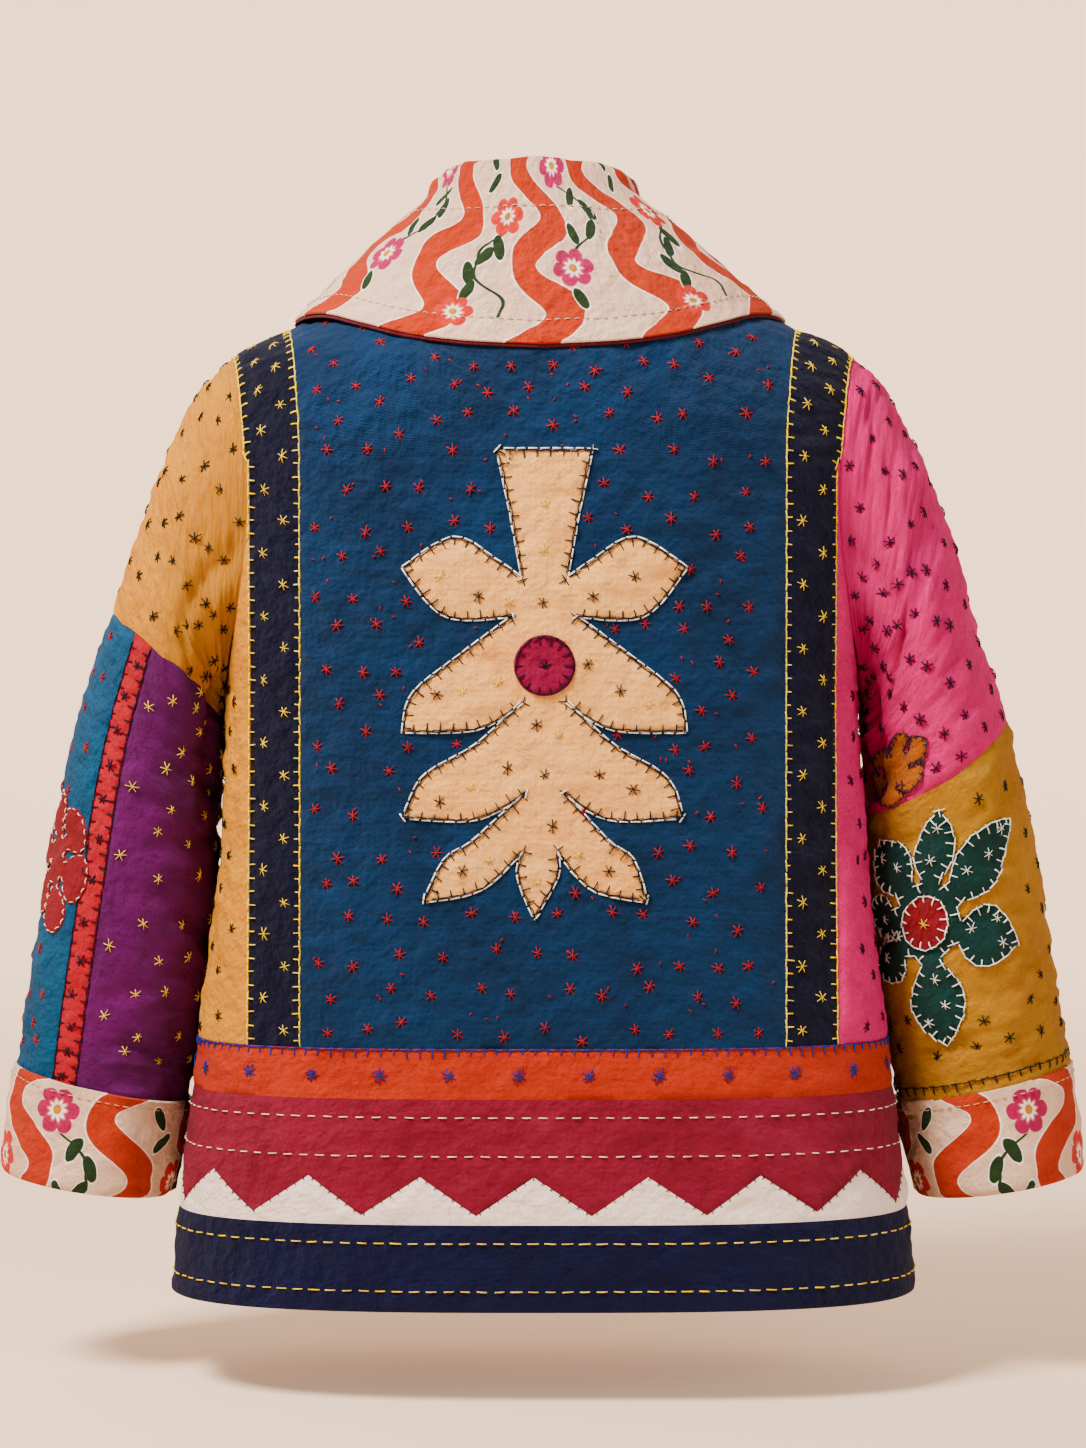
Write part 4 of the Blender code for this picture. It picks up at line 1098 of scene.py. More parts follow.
def cuff(name, side, material, seed):
    """A turned-up cuff: its section, finely divided, carried round the wrist."""
    section = []
    for (a, b), (c, d) in zip(CUFF_SECTION, CUFF_SECTION[1:] + CUFF_SECTION[:1]):
        parts = max(1, int(math.hypot(c - a, d - b) / 0.0035))
        section += [(a + (c - a) * i / parts, b + (d - b) * i / parts) for i in range(parts)]
    section = np.array(section + section[:1])
    angles = spaced(180, 540, 2.6)
    along, off = section[:, :1], section[:, 1:]
    k = np.broadcast_to(CUFF_RING + along / RING_STEP, (len(section), len(angles)))
    a = np.broadcast_to(angles, k.shape)
    n = sleeve_normals(a, k, side)
    v = run_along(section)
    u = np.radians(a) * 0.062
    seam_near = np.minimum(a - 180, 540 - a) / 360 * 0.39
    lies_out = ease((off - 0.0008) / 0.0018)
    height = quilt(u, v[:, None] + 0 * u, seed, 1.0) * lies_out * ease(seam_near / 0.006)
    height = height - 0.0006 * np.exp(-((seam_near / 0.002) ** 2)) * lies_out
    points = sleeve(a, k, side) + n * (off + height)[..., None]
    points[:, -1], points[-1] = points[:, 0], points[0]
    uv = np.stack([u, v[:, None] + 0 * u], -1)
    return closed_shell(name, points.reshape(-1, 3), grid_faces(*k.shape), uv.reshape(-1, 2), material)


cuff("cuff_left", -1, PRINT, 91)
cuff("cuff_right", 1, PRINT, 92)

# %% [markdown]
# ## Appliqués
# Leaves and flowers are cut from other cloth and sewn on top. Each one is an outline filled with small
# triangles and then dropped onto the puckered cloth below it, so it follows every hollow. Its rim is
# lower than its middle, as a turned-in edge is when the thread pulls it down.

# %% Outlines of the appliqués
# leaf pairs, right half: points out along the upper edge to the tip, then back to the notch
LEAVES = (
    (
        ((0.0132, 0.4540), (0.0297, 0.4658), (0.0563, 0.4801), (0.0880, 0.4619)),
        ((0.0613, 0.4322), (0.0184, 0.4322)),
    ),
    (
        ((0.0184, 0.4322), (0.0534, 0.4065), (0.0820, 0.3828), (0.0880, 0.3600)),
        ((0.0415, 0.3620), (0.0132, 0.3788)),
    ),
    (
        ((0.0132, 0.3788), (0.0415, 0.3521), (0.0751, 0.3314), (0.0865, 0.3067)),
        ((0.0415, 0.3057), (0.0109, 0.3225)),
    ),
    (
        ((0.0109, 0.3225), (0.0415, 0.2918), (0.0581, 0.2800), (0.0690, 0.2543)),
        ((0.0346, 0.2622), (0.0099, 0.2870)),
    ),
)
BUD = ((0.0099, 0.2870), (0.0119, 0.2700), (0.0, 0.2443))
STEM_TOP = (0.0290, 0.5350)
SPRAY_X = 0.001
SPRAY_LEAN = 0.006
DISC_HEIGHT = 0.4010
SLEEVE_RADIUS = 0.066
# petals: turn, length, width
GREEN_PETALS = (
    (74, 0.077, 0.035),
    (31, 0.091, 0.037),
    (-22, 0.074, 0.042),
    (-88, 0.095, 0.042),
    (-148, 0.062, 0.038),
    (168, 0.056, 0.036),
    (118, 0.078, 0.035),
)
ORANGE_PETALS = (
    (13, 0.037, 0.030),
    (75, 0.038, 0.028),
    (125, 0.042, 0.028),
    (-40, 0.035, 0.030),
    (-97, 0.034, 0.030),
    (-168, 0.036, 0.034),
)
RED_PETALS = (
    (12, 0.041, 0.031),
    (72, 0.043, 0.031),
    (132, 0.041, 0.031),
    (192, 0.041, 0.031),
    (252, 0.045, 0.031),
    (312, 0.041, 0.031),
)


def spline(path, steps):
    """A smooth line through flat points."""
    p = np.array([path[0]] + list(path) + [path[-1]], float)
    out = []
    for i in range(1, len(p) - 2):
        for t in np.arange(steps) / steps:
            a = 2 * p[i] + (p[i + 1] - p[i - 1]) * t
            b = (2 * p[i - 1] - 5 * p[i] + 4 * p[i + 1] - p[i + 2]) * t**2
            c = (3 * p[i] - p[i - 1] - 3 * p[i + 1] + p[i + 2]) * t**3
            out.append(tuple(0.5 * (a + b + c)))
    return out


def spray_outline(steps=8):
    """A flared stem, four pairs of leaves and a bud; the foot leans a little."""
    half = [STEM_TOP, (0.0205, 0.4950)]
    for upper, lower in LEAVES:
        half += spline(upper, steps)
        half += spline((upper[-1],) + lower, steps)
    half += spline(BUD, steps) + [BUD[-1]]
    both = half + [(-x, z) for x, z in reversed(half[:-1])]
    lean = [SPRAY_X - SPRAY_LEAN * min(max((0.32 - z) / 0.07, 0.0), 1.0) for x, z in both]
    return [(x + off, z) for (x, z), off in zip(both, lean)]


def flower_outline(petals, core, root, belly_out=0.85, blunt=0.8, steps=12):
    """A flower as one outline: petals given as turn, length, width round a core."""
    out = []
    for turn, length, width in sorted(petals):
        c, s = math.cos(math.radians(turn)), math.sin(math.radians(turn))
        for side in (-1, 1):
            for i in range(steps + 1):
                u = (i if side < 0 else steps - i) / steps
                if side > 0 and i == 0:
                    continue
                along = core + (length - core) * u
                belly = 0.5 * width * 0.97 * abs(math.sin(math.pi * u**belly_out)) ** blunt
                across = side * max(root * (1 - u), belly)
                out.append((along * c - across * s, along * s + across * c))
    return out


def round_outline(radius, middle=(0.0, 0.0), count=48):
    turns = 2 * np.pi * np.arange(count) / count
    return [(middle[0] + radius * math.cos(t), middle[1] + radius * math.sin(t)) for t in turns]


def shorter(outline, longest, closed=True):
    """The same line with its long edges divided."""
    out = []
    ends = list(outline[1:]) + ([outline[0]] if closed else [])
    for (x0, y0), (x1, y1) in zip(outline, ends):
        parts = max(1, math.ceil(math.hypot(x1 - x0, y1 - y0) / longest))
        out += [(x0 + (x1 - x0) * i / parts, y0 + (y1 - y0) * i / parts) for i in range(parts)]
    return out if closed else out + [outline[-1]]


def inside(points, outline):
    """Which points lie inside an outline."""
    x, y = points[:, 0], points[:, 1]
    hit = np.zeros(len(points), bool)
    for (x0, y0), (x1, y1) in zip(outline, outline[1:] + outline[:1]):
        if y0 != y1:
            hit ^= ((y0 > y) != (y1 > y)) & (x < (x1 - x0) * (y - y0) / (y1 - y0) + x0)
    return hit


# %% Laying things on the cloth
def on_back(flat):
    flat = np.asarray(flat, float)
    x, z = flat[:, 0], flat[:, 1]
    points = np.stack([x, -body_depth(x, z, -1), z], -1)
    return points, body_normals(points)


def on_sleeve(side, angle, ring_at):
    """Flat metres round a middle: u towards the outside, v up."""

    def place(flat):
        flat = np.asarray(flat, float)
        k = ring_at - flat[:, 1] / RING_STEP
        a = angle - np.degrees(flat[:, 0] / SLEEVE_RADIUS)
        return sleeve(a, k, side), sleeve_normals(a, k, side)

    return place


def ground(*names):
    """The outer faces of some finished pieces, for dropping things on."""
    verts, faces = [], []
    for name in names:
        mesh = bpy.data.objects[name + "_cloth"].data
        start = len(verts)
        verts += [tuple(v.co) for v in mesh.vertices]
        faces += [tuple(i + start for i in p.vertices) for p in mesh.polygons]
    return BVHTree.FromPolygons(verts, faces)


def drop(points, normals, tree, lift=0.0):
    """Moves points along their normals onto the cloth, then up by lift."""
    down = np.array([0, 0, MOUNT_HEIGHT])
    out = np.empty_like(points)
    for i, (p, n) in enumerate(zip(points - down, normals)):
        hit = tree.ray_cast(Vector(p + n * 0.012), Vector(-n), 0.03)[0]
        out[i] = (np.array(hit) if hit else p) + n * lift
    return out + down


def from_rim(places, corners):
    """Distance of each flat place from the nearest corner of an outline."""
    return np.array([np.min(np.hypot(corners[:, 0] - a, corners[:, 1] - b)) for a, b in places])


def patch(name, outline, place, tree, lift, thick, dye, spacing=0.0035):
    """A piece of cloth cut to an outline and laid on other cloth."""
    outline = shorter(outline, spacing)
    corners = np.array(outline)
    low, high = corners.min(0), corners.max(0)
    u, v = np.meshgrid(np.arange(low[0], high[0], spacing), np.arange(low[1], high[1], spacing))
    u[::2] += spacing / 2
    loose = np.stack([u.ravel(), v.ravel()], -1)
    loose = loose[inside(loose, outline)]
    loose = loose[from_rim(loose, corners) > spacing * 0.45]
    flat = [Vector(p) for p in outline] + [Vector(p) for p in loose]
    result = delaunay_2d_cdt(flat, [], [list(range(len(outline)))], 1, 1e-7)
    uv = np.array([tuple(p) for p in result[0]])
    rim = from_rim(uv, corners)
    points, normals = place(uv)
    swell = 0.45 + 0.55 * ease(rim / 0.004) + 0.35 * ease(rim / 0.02)
    swell = swell + 0.3 * noise(uv[:, 0], uv[:, 1], 0.012, 5)
    landed = drop(points, normals, tree, lift) + normals * (thick * swell)[:, None]
    cloth = Cloth(0)
    cloth.parts.append((landed, normals, uv))
    cloth.faces.append(np.array(result[2]))
    return cloth.build(name, thick * 0.8, DYES[dye], DYES[dye])


SPRAY = spray_outline()
DISC = round_outline(0.0190, (SPRAY_X, DISC_HEIGHT))
GREEN = flower_outline(GREEN_PETALS, 0.025, 0.0090)
ORANGE = flower_outline(ORANGE_PETALS, 0.017, 0.0070)
RED = flower_outline(RED_PETALS, 0.013, 0.0060, 1.2, 0.55)
ON_GREEN, ON_ORANGE, ON_RED = on_sleeve(1, 121, 6.72), on_sleeve(1, 134, 4.75), on_sleeve(-1, 33, 6.45)
RIGHT_CLOTH = ground("gore_gold", "gore_purple_right", "sleeve_upper_right")
patch("leaf_spray", SPRAY, on_back, ground("back_panel"), 0.0003, 0.0010, "tan")
patch("spray_disc", DISC, on_back, ground("leaf_spray"), 0.0003, 0.0009, "crimson", 0.0028)
patch("flower_green", GREEN, ON_GREEN, RIGHT_CLOTH, 0.0003, 0.0010, "green", 0.0030)
patch("flower_disc", round_outline(0.0180), ON_GREEN, ground("flower_green"), 0.0003, 0.0009, "red", 0.0028)
patch("petal_orange", ORANGE, ON_ORANGE, RIGHT_CLOTH, 0.0003, 0.0010, "ochre", 0.0030)
patch("flower_red", RED, ON_RED, ground("gore_teal", "gore_coral"), 0.0003, 0.0010, "red", 0.0030)
print("outline of the spray:", len(SPRAY), "corners")

# %% [markdown]
# ## Hand stitches
# Every patch is held by thread that is meant to be seen: blanket stitch round the edges, running stitch
# along the bands and little stars that hold the layers together. One stitch is modelled once. A
# Geometry Nodes tree then sets it along lines, or at single points, turns it to the cloth's own
# direction and varies it a little, because no hand sews two stitches alike.


# %% Single stitches
def tube(path, radius, sides=4):
    """A short thread along a path: points and faces."""
    path = np.array(path, float)
    way = unit(np.gradient(path, axis=0))
    across = unit(np.cross(way, (0.0, 0.0, 1.0)))
    up = np.cross(across, way)
    turns = 2 * np.pi * (np.arange(sides) + 0.5) / sides
    shape = np.cos(turns)[:, None, None] * across + np.sin(turns)[:, None, None] * up
    verts = (path[None] + shape * radius).transpose(1, 0, 2).reshape(-1, 3)
    faces = []
    for i in range(len(path) - 1):
        for j in range(sides):
            k = (j + 1) % sides
            faces.append((i * sides + j, i * sides + k, (i + 1) * sides + k, (i + 1) * sides + j))
    last = (len(path) - 1) * sides
    faces += [tuple(reversed(range(sides))), tuple(range(last, last + sides))]
    return verts, faces


def stitch(name, threads):
    """A template object made of several threads, each a path and a radius."""
    verts, faces = [], []
    for path, radius in threads:
        more, added = tube(path, radius)
        faces += [tuple(i + len(verts) for i in face) for face in added]
        verts += [tuple(v) for v in more]
    mesh = bpy.data.meshes.new(name)
    mesh.from_pydata(verts, [], faces)
    mesh.polygons.foreach_set("use_smooth", np.ones(len(faces), bool))
    ob = bpy.data.objects.new(name, mesh)
    bpy.context.scene.collection.objects.link(ob)
    return ob


def arch(start, stop, high=0.0005, low=-0.0004, steps=4):
    """A path that comes up through the cloth, lies on it and goes down again."""
    a, b = np.array(start, float), np.array(stop, float)
    out = []
    for t in np.linspace(0, 1, steps + 1):
        x, y = a + (b - a) * t
        out.append((x, y, low + (high - low) * math.sin(math.pi * t) ** 0.5))
    return out


def star(arms, size, thread):
    half = size / 2
    threads = []
    for i in range(arms // 2):
        turn = math.pi * i / (arms // 2) + 0.12 * (i % 2)
        long = half * (1.0 - 0.12 * (i % 2))
        c, s = math.cos(turn) * long, math.sin(turn) * long
        threads.append((arch((-c, -s), (c, s), 0.0006 + 0.0001 * i), thread))
    return threads


THREAD = 0.00042
STITCHES = {
    "running": stitch("running", [(arch((-0.0028, 0), (0.0028, 0)), THREAD)]),
    "long_running": stitch("long_running", [(arch((-0.0034, 0), (0.0034, 0)), 0.00048)]),
    "cord": stitch("cord", [(arch((-0.0031, 0), (0.0031, 0), 0.0007, 0.0001), 0.00062)]),
    "blanket": stitch(
        "blanket",
        [
            (
                [(-0.0044, 0, 0.0003), (-0.001, 0.0001, 0.0006), (0.002, 0, 0.0005), (0.0044, 0, 0.0003)],
                0.00048,
            ),
            (arch((0, -0.0007), (0.0002, 0.0052), 0.0007), 0.00050),
        ],
    ),
    "blanket_small": stitch(
        "blanket_small",
        [
            ([(-0.0029, 0, 0.0003), (0.0, 0.0001, 0.0006), (0.0029, 0, 0.0003)], 0.00040),
            (arch((0, -0.0004), (0.0001, 0.0026), 0.0006), 0.00040),
        ],
    ),
    "whip_fine": stitch("whip_fine", [(arch((-0.0019, 0), (0.0019, 0)), 0.00034)]),
    "whip": stitch("whip", [(arch((-0.0003, -0.0016), (0.0003, 0.0014)), 0.00042)]),
    "star_six": stitch("star_six", star(6, 0.0084, 0.00044)),
    "star_fine": stitch("star_fine", star(6, 0.0084, 0.00027)),
    "star_eight": stitch("star_eight", star(8, 0.0104, 0.00042)),
    "knot": stitch("knot", [(arch((-0.001, 0), (0.001, 0.0003), 0.0005), 0.0005)]),
}
print("stitches:", {name: len(ob.data.polygons) for name, ob in STITCHES.items()})


# %% The tree that sets them
def stitch_tree(name, on_lines):
    """Geometry Nodes: one stitch at every point, or at every step along lines."""
    tree = bpy.data.node_groups.new(name, "GeometryNodeTree")
    face = tree.interface
    face.new_socket("Lines", in_out="INPUT", socket_type="NodeSocketGeometry")
    face.new_socket("Stitch", in_out="INPUT", socket_type="NodeSocketObject")
    face.new_socket("Pitch", in_out="INPUT", socket_type="NodeSocketFloat").default_value = 0.0084
    face.new_socket("Turn", in_out="INPUT", socket_type="NodeSocketFloat").default_value = 0.12
    face.new_socket("Seed", in_out="INPUT", socket_type="NodeSocketInt").default_value = 1
    face.new_socket("Thread", in_out="INPUT", socket_type="NodeSocketMaterial")
    face.new_socket("Stitches", in_out="OUTPUT", socket_type="NodeSocketGeometry")
    start, done = tree.nodes.new("NodeGroupInput"), tree.nodes.new("NodeGroupOutput")
    link = tree.links.new
    where = start.outputs["Lines"]
    if on_lines:
        curve = tree.nodes.new("GeometryNodeMeshToCurve")
        even = node(tree, "GeometryNodeResampleCurve", mode="LENGTH")
        link(where, curve.inputs[0])
        link(curve.outputs[0], even.inputs["Curve"])
        link(start.outputs["Pitch"], even.inputs["Length"])
        where = even.outputs[0]
    facing = node(tree, "GeometryNodeInputNamedAttribute", {"Name": "facing"}, data_type="FLOAT_VECTOR")
    along = node(tree, "GeometryNodeInputNamedAttribute", {"Name": "along"}, data_type="FLOAT_VECTOR")
    turn = node(tree, "FunctionNodeAxesToRotation", primary_axis="Z", secondary_axis="X")
    link(facing.outputs["Attribute"], turn.inputs["Primary Axis"])
    link(along.outputs["Attribute"], turn.inputs["Secondary Axis"])
    less = scaled(tree, start.outputs["Turn"], -1.0)
    loose = node(tree, "FunctionNodeRandomValue", data_type="FLOAT")
    link(less, loose.inputs[2])
    link(start.outputs["Turn"], loose.inputs[3])
    link(start.outputs["Seed"], loose.inputs["Seed"])
    spin = node(tree, "FunctionNodeAxisAngleToRotation", {"Axis": (0, 0, 1)})
    link(loose.outputs[1], spin.inputs["Angle"])
    turned = node(tree, "FunctionNodeRotateRotation", rotation_space="LOCAL")
    link(turn.outputs[0], turned.inputs[0])
    link(spin.outputs[0], turned.inputs[1])
    limits = {0: (0.84, 0.88, 0.8), 1: (1.08, 1.14, 1.2)}
    size = node(tree, "FunctionNodeRandomValue", limits, data_type="FLOAT_VECTOR")
    link(start.outputs["Seed"], size.inputs["Seed"])
    shape = tree.nodes.new("GeometryNodeObjectInfo")
    link(start.outputs["Stitch"], shape.inputs["Object"])
    placed = tree.nodes.new("GeometryNodeInstanceOnPoints")
    link(where, placed.inputs["Points"])
    link(shape.outputs["Geometry"], placed.inputs["Instance"])
    link(turned.outputs[0], placed.inputs["Rotation"])
    link(size.outputs[0], placed.inputs["Scale"])
    real = tree.nodes.new("GeometryNodeRealizeInstances")
    link(placed.outputs[0], real.inputs[0])
    dyed = tree.nodes.new("GeometryNodeSetMaterial")
    link(real.outputs[0], dyed.inputs["Geometry"])
    link(start.outputs["Thread"], dyed.inputs["Material"])
    link(dyed.outputs[0], done.inputs[0])
    return tree


TREES = {True: stitch_tree("stitches_on_lines", True), False: stitch_tree("stitches_at_points", False)}


def yarn(name, colour):
    """Cotton thread: a plain colour with fine twist lines."""
    material = bpy.data.materials.new(name)
    material.use_nodes = True
    tree = material.node_tree
    shader = tree.nodes["Principled BSDF"]
    where = node(tree, "ShaderNodeTexCoord").outputs["Object"]
    darker = linear(*[c * 0.72 for c in colour])
    tone = mix(tree, spots(tree, where, 260.0, 0.35, 0.7), linear(*colour), darker)
    tree.links.new(tone, shader.inputs["Base Color"])
    twist = node(tree, "ShaderNodeTexWave", {"Scale": 900.0, "Distortion": 2.0}, bands_direction="DIAGONAL")
    tree.links.new(where, twist.inputs["Vector"])
    bump = node(tree, "ShaderNodeBump", {"Strength": 0.4, "Distance": 0.0004})
    tree.links.new(twist.outputs["Fac"], bump.inputs["Height"])
    tree.links.new(bump.outputs["Normal"], shader.inputs["Normal"])
    shader.inputs["Roughness"].default_value = 0.6
    shader.inputs["Specular IOR Level"].default_value = 0.12
    return material


YARNS = {
    "yellow": yarn("yellow_thread", (248, 208, 20)),
    "cream": yarn("cream_thread", (250, 226, 190)),
    "white": yarn("white_thread", (246, 240, 228)),
    "brown": yarn("brown_thread", (70, 14, 14)),
    "beige": yarn("beige_thread", (206, 170, 136)),
    "blue": yarn("blue_thread", (14, 34, 120)),
    "navy": yarn("navy_thread", (2, 5, 26)),
    "maroon": yarn("maroon_thread", (150, 6, 22)),
    "dark": yarn("dark_green_thread", (1, 8, 9)),
    "plum": yarn("plum_thread", (40, 14, 60)),
}


def sew(name, kind, colour, lines, pitch=0.0084, turn=0.12, seed=1):
    """Sews one kind of stitch along lines, or at points if each line is a single point."""
    points, facing, along, edges = [], [], [], []
    for line, normals, ways in lines:
        start = len(points)
        points += list(line - [0, 0, MOUNT_HEIGHT])
        facing += list(normals)
        along += list(ways)
        edges += [(start + i, start + i + 1) for i in range(len(line) - 1)]
    on_lines = len(edges) > 0
    mesh = bpy.data.meshes.new(name)
    mesh.from_pydata([tuple(p) for p in points], edges, [])
    for key, values in (("facing", facing), ("along", along)):
        store = mesh.attributes.new(key, "FLOAT_VECTOR", "POINT")
        store.data.foreach_set("vector", np.array(values, np.float32).ravel())
    ob = bpy.data.objects.new(name, mesh)
    bpy.context.scene.collection.objects.link(ob)
    tree = TREES[on_lines]
    modifier = ob.modifiers.new("stitches", "NODES")
    modifier.node_group = tree
    values = {"Stitch": STITCHES[kind], "Pitch": pitch, "Turn": turn, "Seed": seed, "Thread": YARNS[colour]}
    for item in tree.interface.items_tree:
        if item.in_out == "INPUT" and item.name in values:
            modifier[item.identifier] = values[item.name]
    bpy.context.view_layer.update()
    solid = bpy.data.meshes.new_from_object(ob.evaluated_get(bpy.context.evaluated_depsgraph_get()))
    ob.modifiers.clear()
    ob.data = solid
    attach(ob, "root")
    print(name, len(solid.polygons), "faces")
    return ob


# %% [markdown]
# ## Where the stitches go
# A line of stitches is a list of points on the cloth, the way the cloth faces there and the way the line
# runs. Ticks of blanket stitch point to the left of the line's run, so each line is run with its own
# patch on the left.

# %% Lines and places
IN_PAIRS = [part + "_" + word for part in ("front", "strip", "side") for word in ("left", "right")]
BODY_CLOTH = ground("back_panel", *IN_PAIRS)
BAND_CLOTH = ground("band_orange", "band_raspberry", "band_white", "band_navy")
LEFT_ARM = ground("sleeve_upper_left", "gore_teal", "gore_coral", "gore_purple_left")


def laid(points, normals, tree, left=True, lift=0.0002):
    """A finished line: dropped on the cloth, with the run of its stitches."""
    points = drop(np.asarray(points, float), normals, tree, lift)
    ways = unit(np.gradient(points, axis=0))
    if not left:
        ways = -ways
    return points, normals, ways


def singly(points, normals, tree, lift=0.0002):
    """The same for single stitches: each is a line of one point."""
    points = drop(np.asarray(points, float), normals, tree, lift)
    ways = unit(np.cross(normals, np.array([0.3, 0.2, 1.0])))
    return [(points[i : i + 1], normals[i : i + 1], ways[i : i + 1]) for i in range(len(points))]


def rim_line(outline, place, tree, inset=0.0, left=True):
    """A closed line along an outline, moved inwards by inset."""
    flat = np.array(shorter(outline, 0.0022))
    way = unit(np.roll(flat, -1, axis=0) - np.roll(flat, 1, axis=0))
    inward = np.stack([-way[:, 1], way[:, 0]], -1)
    area = np.sum(flat[:, 0] * np.roll(flat[:, 1], -1) - flat[:, 1] * np.roll(flat[:, 0], -1))
    flat = flat + inward * inset * (1 if area > 0 else -1)
    flat = np.concatenate([flat, flat[:1]])
    points, normals = place(flat)
    points, normals, ways = laid(points, normals, tree)
    middle = np.cross(normals, ways)
    back = place(flat + np.concatenate([inward, inward[:1]]) * 0.001 * (1 if area > 0 else -1))[0]
    flip = np.sign(np.sum((back - place(flat)[0]) * middle, axis=-1, keepdims=True))
    return points, normals, ways * np.where(flip == 0, 1, flip) * (1 if left else -1)


def strip_edge(side, column_of):
    """The edge of a strip from the back waist over the shoulder to the front waist."""
    upright, rounding = np.linspace(WAIST + 0.004, ROUND_FROM, 120), np.linspace(ROUND_FROM + 0.02, 1.53, 60)
    q = np.concatenate([upright, rounding])
    points, normals = [], []
    for face, order in ((-1, q), (1, q[-2::-1])):
        line = body(column_of(order), order, face)
        points.append(mirrored(line, side))
        normals.append(mirrored(body_normals(line), side))
    return np.concatenate(points), np.concatenate(normals)


def outer_column(q):
    return np.where(q > ROUND_FROM, smooth(ARM_EDGE, q), STRIP_OUTER)


yellow_edges = []
for side in (-1, 1):
    for column, left in ((lambda q: smooth(STRIP, q), side < 0), (outer_column, side > 0)):
        points, normals = strip_edge(side, column)
        yellow_edges.append(laid(points, normals, BODY_CLOTH, left))
sew("yellow_blanket", "blanket", "yellow", yellow_edges, 0.0084, 0.1, 3)


def band_row(z):
    s = np.arange(-BAND_END + 0.004, BAND_END - 0.004, 0.004)
    points = band_point(s, z + 0 * s)
    return points, body_normals(points)


sew("blue_blanket", "blanket", "blue", [laid(*band_row(WAIST - 0.0005), BAND_CLOTH, False)], 0.0080, 0.14, 4)
hem_lines = [laid(*band_row(z), BAND_CLOTH) for z in (0.0125, 0.0420)]
raspberry_lines = [laid(*band_row(z), BAND_CLOTH) for z in (0.0958, 0.1198)]
sew("yellow_rows", "long_running", "yellow", hem_lines, 0.0106, 0.07, 5)
sew("cream_rows", "running", "cream", raspberry_lines, 0.0104, 0.07, 6)
s = np.arange(-BAND_END + 0.004, BAND_END - 0.004, 0.003)
points = band_point(s, zigzag(s))
sew("zigzag_whip", "whip", "brown", [laid(points, body_normals(points), BAND_CLOTH)], 0.0066, 0.3, 7)


def arm_line(side, angle, low, high, tree, left=True):
    k = np.linspace(low, high, 120)
    points, normals = worn(np.full(120, float(angle)), k, side)
    return laid(points, normals, tree, left)


def arm_ring(side, k, start, stop, tree, left=True):
    a = np.linspace(start, stop, 160)
    points, normals = worn(a, np.full(160, float(k)), side)
    return laid(points, normals, tree, left)


coral = [arm_line(-1, 62.6, 4.0, 8.95, LEFT_ARM, True), arm_line(-1, 79.4, 3.85, 8.95, LEFT_ARM, False)]
right_cuff_line = arm_ring(1, 8.82, 0, 360, RIGHT_CLOTH)
sew("navy_blanket", "blanket", "navy", coral + [right_cuff_line], 0.0086, 0.14, 8)
SPRAY_CLOTH = ground("leaf_spray", "back_panel")
FLOWER_CLOTH = ground("flower_green", "gore_gold", "gore_purple_right")
sew("spray_blanket", "blanket", "navy", [rim_line(SPRAY, on_back, SPRAY_CLOTH, 0.0003)], 0.0083, 0.12, 9)
sew("spray_cord", "cord", "white", [rim_line(SPRAY, on_back, SPRAY_CLOTH, -0.0011)], 0.0074, 0.05, 10)
disc_line = rim_line(DISC, on_back, ground("spray_disc", "leaf_spray"), 0.0012)
sew("disc_blanket", "blanket", "navy", [disc_line], 0.0078, 0.15, 11)
green_line = rim_line(GREEN, ON_GREEN, FLOWER_CLOTH, 0.0003)
RED_DISC = round_outline(0.0180)
red_disc_line = rim_line(RED_DISC, ON_GREEN, ground("flower_disc", "flower_green"), 0.0003)
sew("white_blanket", "blanket", "white", [green_line, red_disc_line], 0.0082, 0.15, 12)
petal_cloth = ground("petal_orange", "sleeve_upper_right", "gore_gold", "gore_purple_right")
petal_line = rim_line(ORANGE, ON_ORANGE, petal_cloth, 0.0003)
sew("plum_blanket", "blanket_small", "plum", [petal_line], 0.0056, 0.2, 13)
red_cloth = ground("flower_red", "gore_teal", "gore_coral", "gore_purple_left")
sew("red_flower_rim", "whip_fine", "cream", [rim_line(RED, ON_RED, red_cloth, 0.0010)], 0.0066, 0.1, 14)

COLLAR_CLOTH, CUFF_CLOTH = ground("collar"), ground("cuff_left", "cuff_right")


def collar_row(row, first=6, last=-6):
    """A line along the collar, a number of rows of its grid up from the free edge."""
    return COLLAR_POINTS[row, first:last], COLLAR_NORMALS[row, first:last]


middle = COLLAR_POINTS.shape[1] // 2 + 14
short_row = (COLLAR_POINTS[13:19, middle], COLLAR_NORMALS[13:19, middle])
collar_lines = [laid(*line, COLLAR_CLOTH) for line in (collar_row(3), collar_row(19), short_row)]
sew("collar_rows", "whip_fine", "beige", collar_lines, 0.0060, 0.06, 15)
cuff_lines = []
for side in (-1, 1):
    angles = np.linspace(2, 358, 160)
    normals = sleeve_normals(angles, CUFF_STITCH_RING, side)
    points = sleeve(angles, CUFF_STITCH_RING, side) + normals * 0.0045
    cuff_lines.append(laid(points, normals, CUFF_CLOTH))
sew("cuff_rows", "whip_fine", "beige", cuff_lines, 0.0062, 0.06, 16)

# %% [markdown]
# ## Stars
# The stars hold outer cloth, wadding and lining together, so they are spread over every plain panel in
# staggered rows. The rows are laid out in metres on the cloth and each star is moved a little by hand's
# error. On the strips they go in a zigzag, on the orange band they stand in one line.


